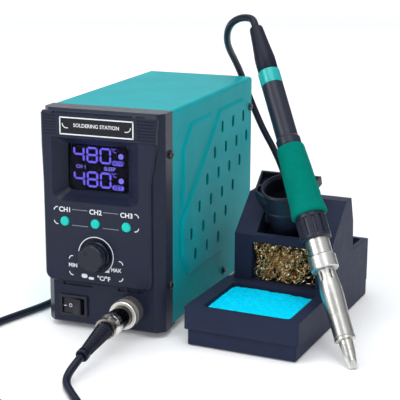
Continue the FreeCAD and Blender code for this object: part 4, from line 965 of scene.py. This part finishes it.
# ---------------------------------------------------------------- stage, light and camera
def floor():
    bm = bmesh.new()
    bmesh.ops.create_circle(bm, cap_ends=True, segments=96, radius=9.0)
    mesh = bpy.data.meshes.new("floor")
    bm.to_mesh(mesh)
    bm.free()
    s = Shade("pale_floor", Roughness=0.7, Specular_IOR_Level=0.2, Emission_Strength=1.0)
    reach = s.node("ShaderNodeVectorMath", operation="LENGTH")
    s.join(s.place, reach.inputs[0])
    far = s.span(reach.outputs["Value"], 0.0, 1.0, 0.4, 3.5)
    s.join(s.ramp(far, (0.0, (0.10, 0.10, 0.105)), (0.3, (0.26, 0.26, 0.265)), (1.0, (0.60, 0.60, 0.60))),
           s.shader.inputs["Emission Color"])
    s.colour(s.ramp(s.noise(900.0, 1.0), (0.3, (0.90, 0.905, 0.915)), (0.7, (0.92, 0.925, 0.935))))
    mesh.materials.append(s.material)
    made = bpy.data.objects.new("floor", mesh)
    bpy.context.scene.collection.objects.link(made)


def panel_light(name, place, target, size, power, colour=(1, 1, 1)):
    light = bpy.data.lights.new(name, "AREA")
    light.shape = "RECTANGLE"
    light.size, light.size_y = size
    light.energy = power
    light.color = colour
    made = bpy.data.objects.new(name, light)
    made.location = place
    made.rotation_euler = (Vector(target) - Vector(place)).to_track_quat("-Z", "Y").to_euler()
    bpy.context.scene.collection.objects.link(made)


def studio():
    """Soft room that is dark low down and bright overhead, with four panels of light."""
    world = bpy.data.worlds.new("studio")
    world.use_nodes = True
    tree = world.node_tree
    background = tree.nodes["Background"]
    place = tree.nodes.new("ShaderNodeTexCoord")
    split = tree.nodes.new("ShaderNodeSeparateXYZ")
    ramp = tree.nodes.new("ShaderNodeValToRGB")
    elements = ramp.color_ramp.elements
    while len(elements) < 4:
        elements.new(0.5)
    for element, (position, level) in zip(elements, ((0.0, 0.10), (0.28, 0.22), (0.55, 0.62), (1.0, 0.85))):
        element.position = position
        element.color = (level * 0.95, level * 0.98, level, 1.0)
    tree.links.new(place.outputs["Generated"], split.inputs[0])
    tree.links.new(split.outputs["Z"], ramp.inputs["Fac"])
    tree.links.new(ramp.outputs["Color"], background.inputs["Color"])
    background.inputs["Strength"].default_value = 1.0
    bpy.context.scene.world = world
    panel_light("top_panel", (0.0, -0.25, 1.5), (0, 0, 0), (1.2, 1.2), 10.4)
    panel_light("left_panel", (-1.1, -1.1, 0.9), (0, 0, 0.08), (0.8, 1.1), 11.0)
    panel_light("right_strip", (0.75, -0.95, 0.75), (0.0, 0, 0.1), (0.35, 1.1), 3.4)
    panel_light("back_panel", (-0.55, 1.7, 0.62), (0.0, 0, 0.15), (1.8, 0.5), 3.0)
    bpy.context.scene.view_settings.view_transform = "Standard"


def camera():
    """Long lens that looks down at the unit from the front right."""
    data = bpy.data.cameras.new("camera")
    data.sensor_width = 36.0
    data.lens = CAMERA_LENS
    made = bpy.data.objects.new("camera", data)
    turn = Matrix.Rotation(math.radians(CAMERA_HEADING), 4, "Z")
    turn = turn @ Matrix.Rotation(math.radians(CAMERA_TILT), 4, "X")
    turn = turn @ Matrix.Rotation(math.radians(CAMERA_ROLL), 4, "Z")
    made.matrix_world = Matrix.Translation(at(*CAMERA_PLACE)) @ turn
    bpy.context.scene.collection.objects.link(made)
    bpy.context.scene.camera = made


floor()
studio()
camera()
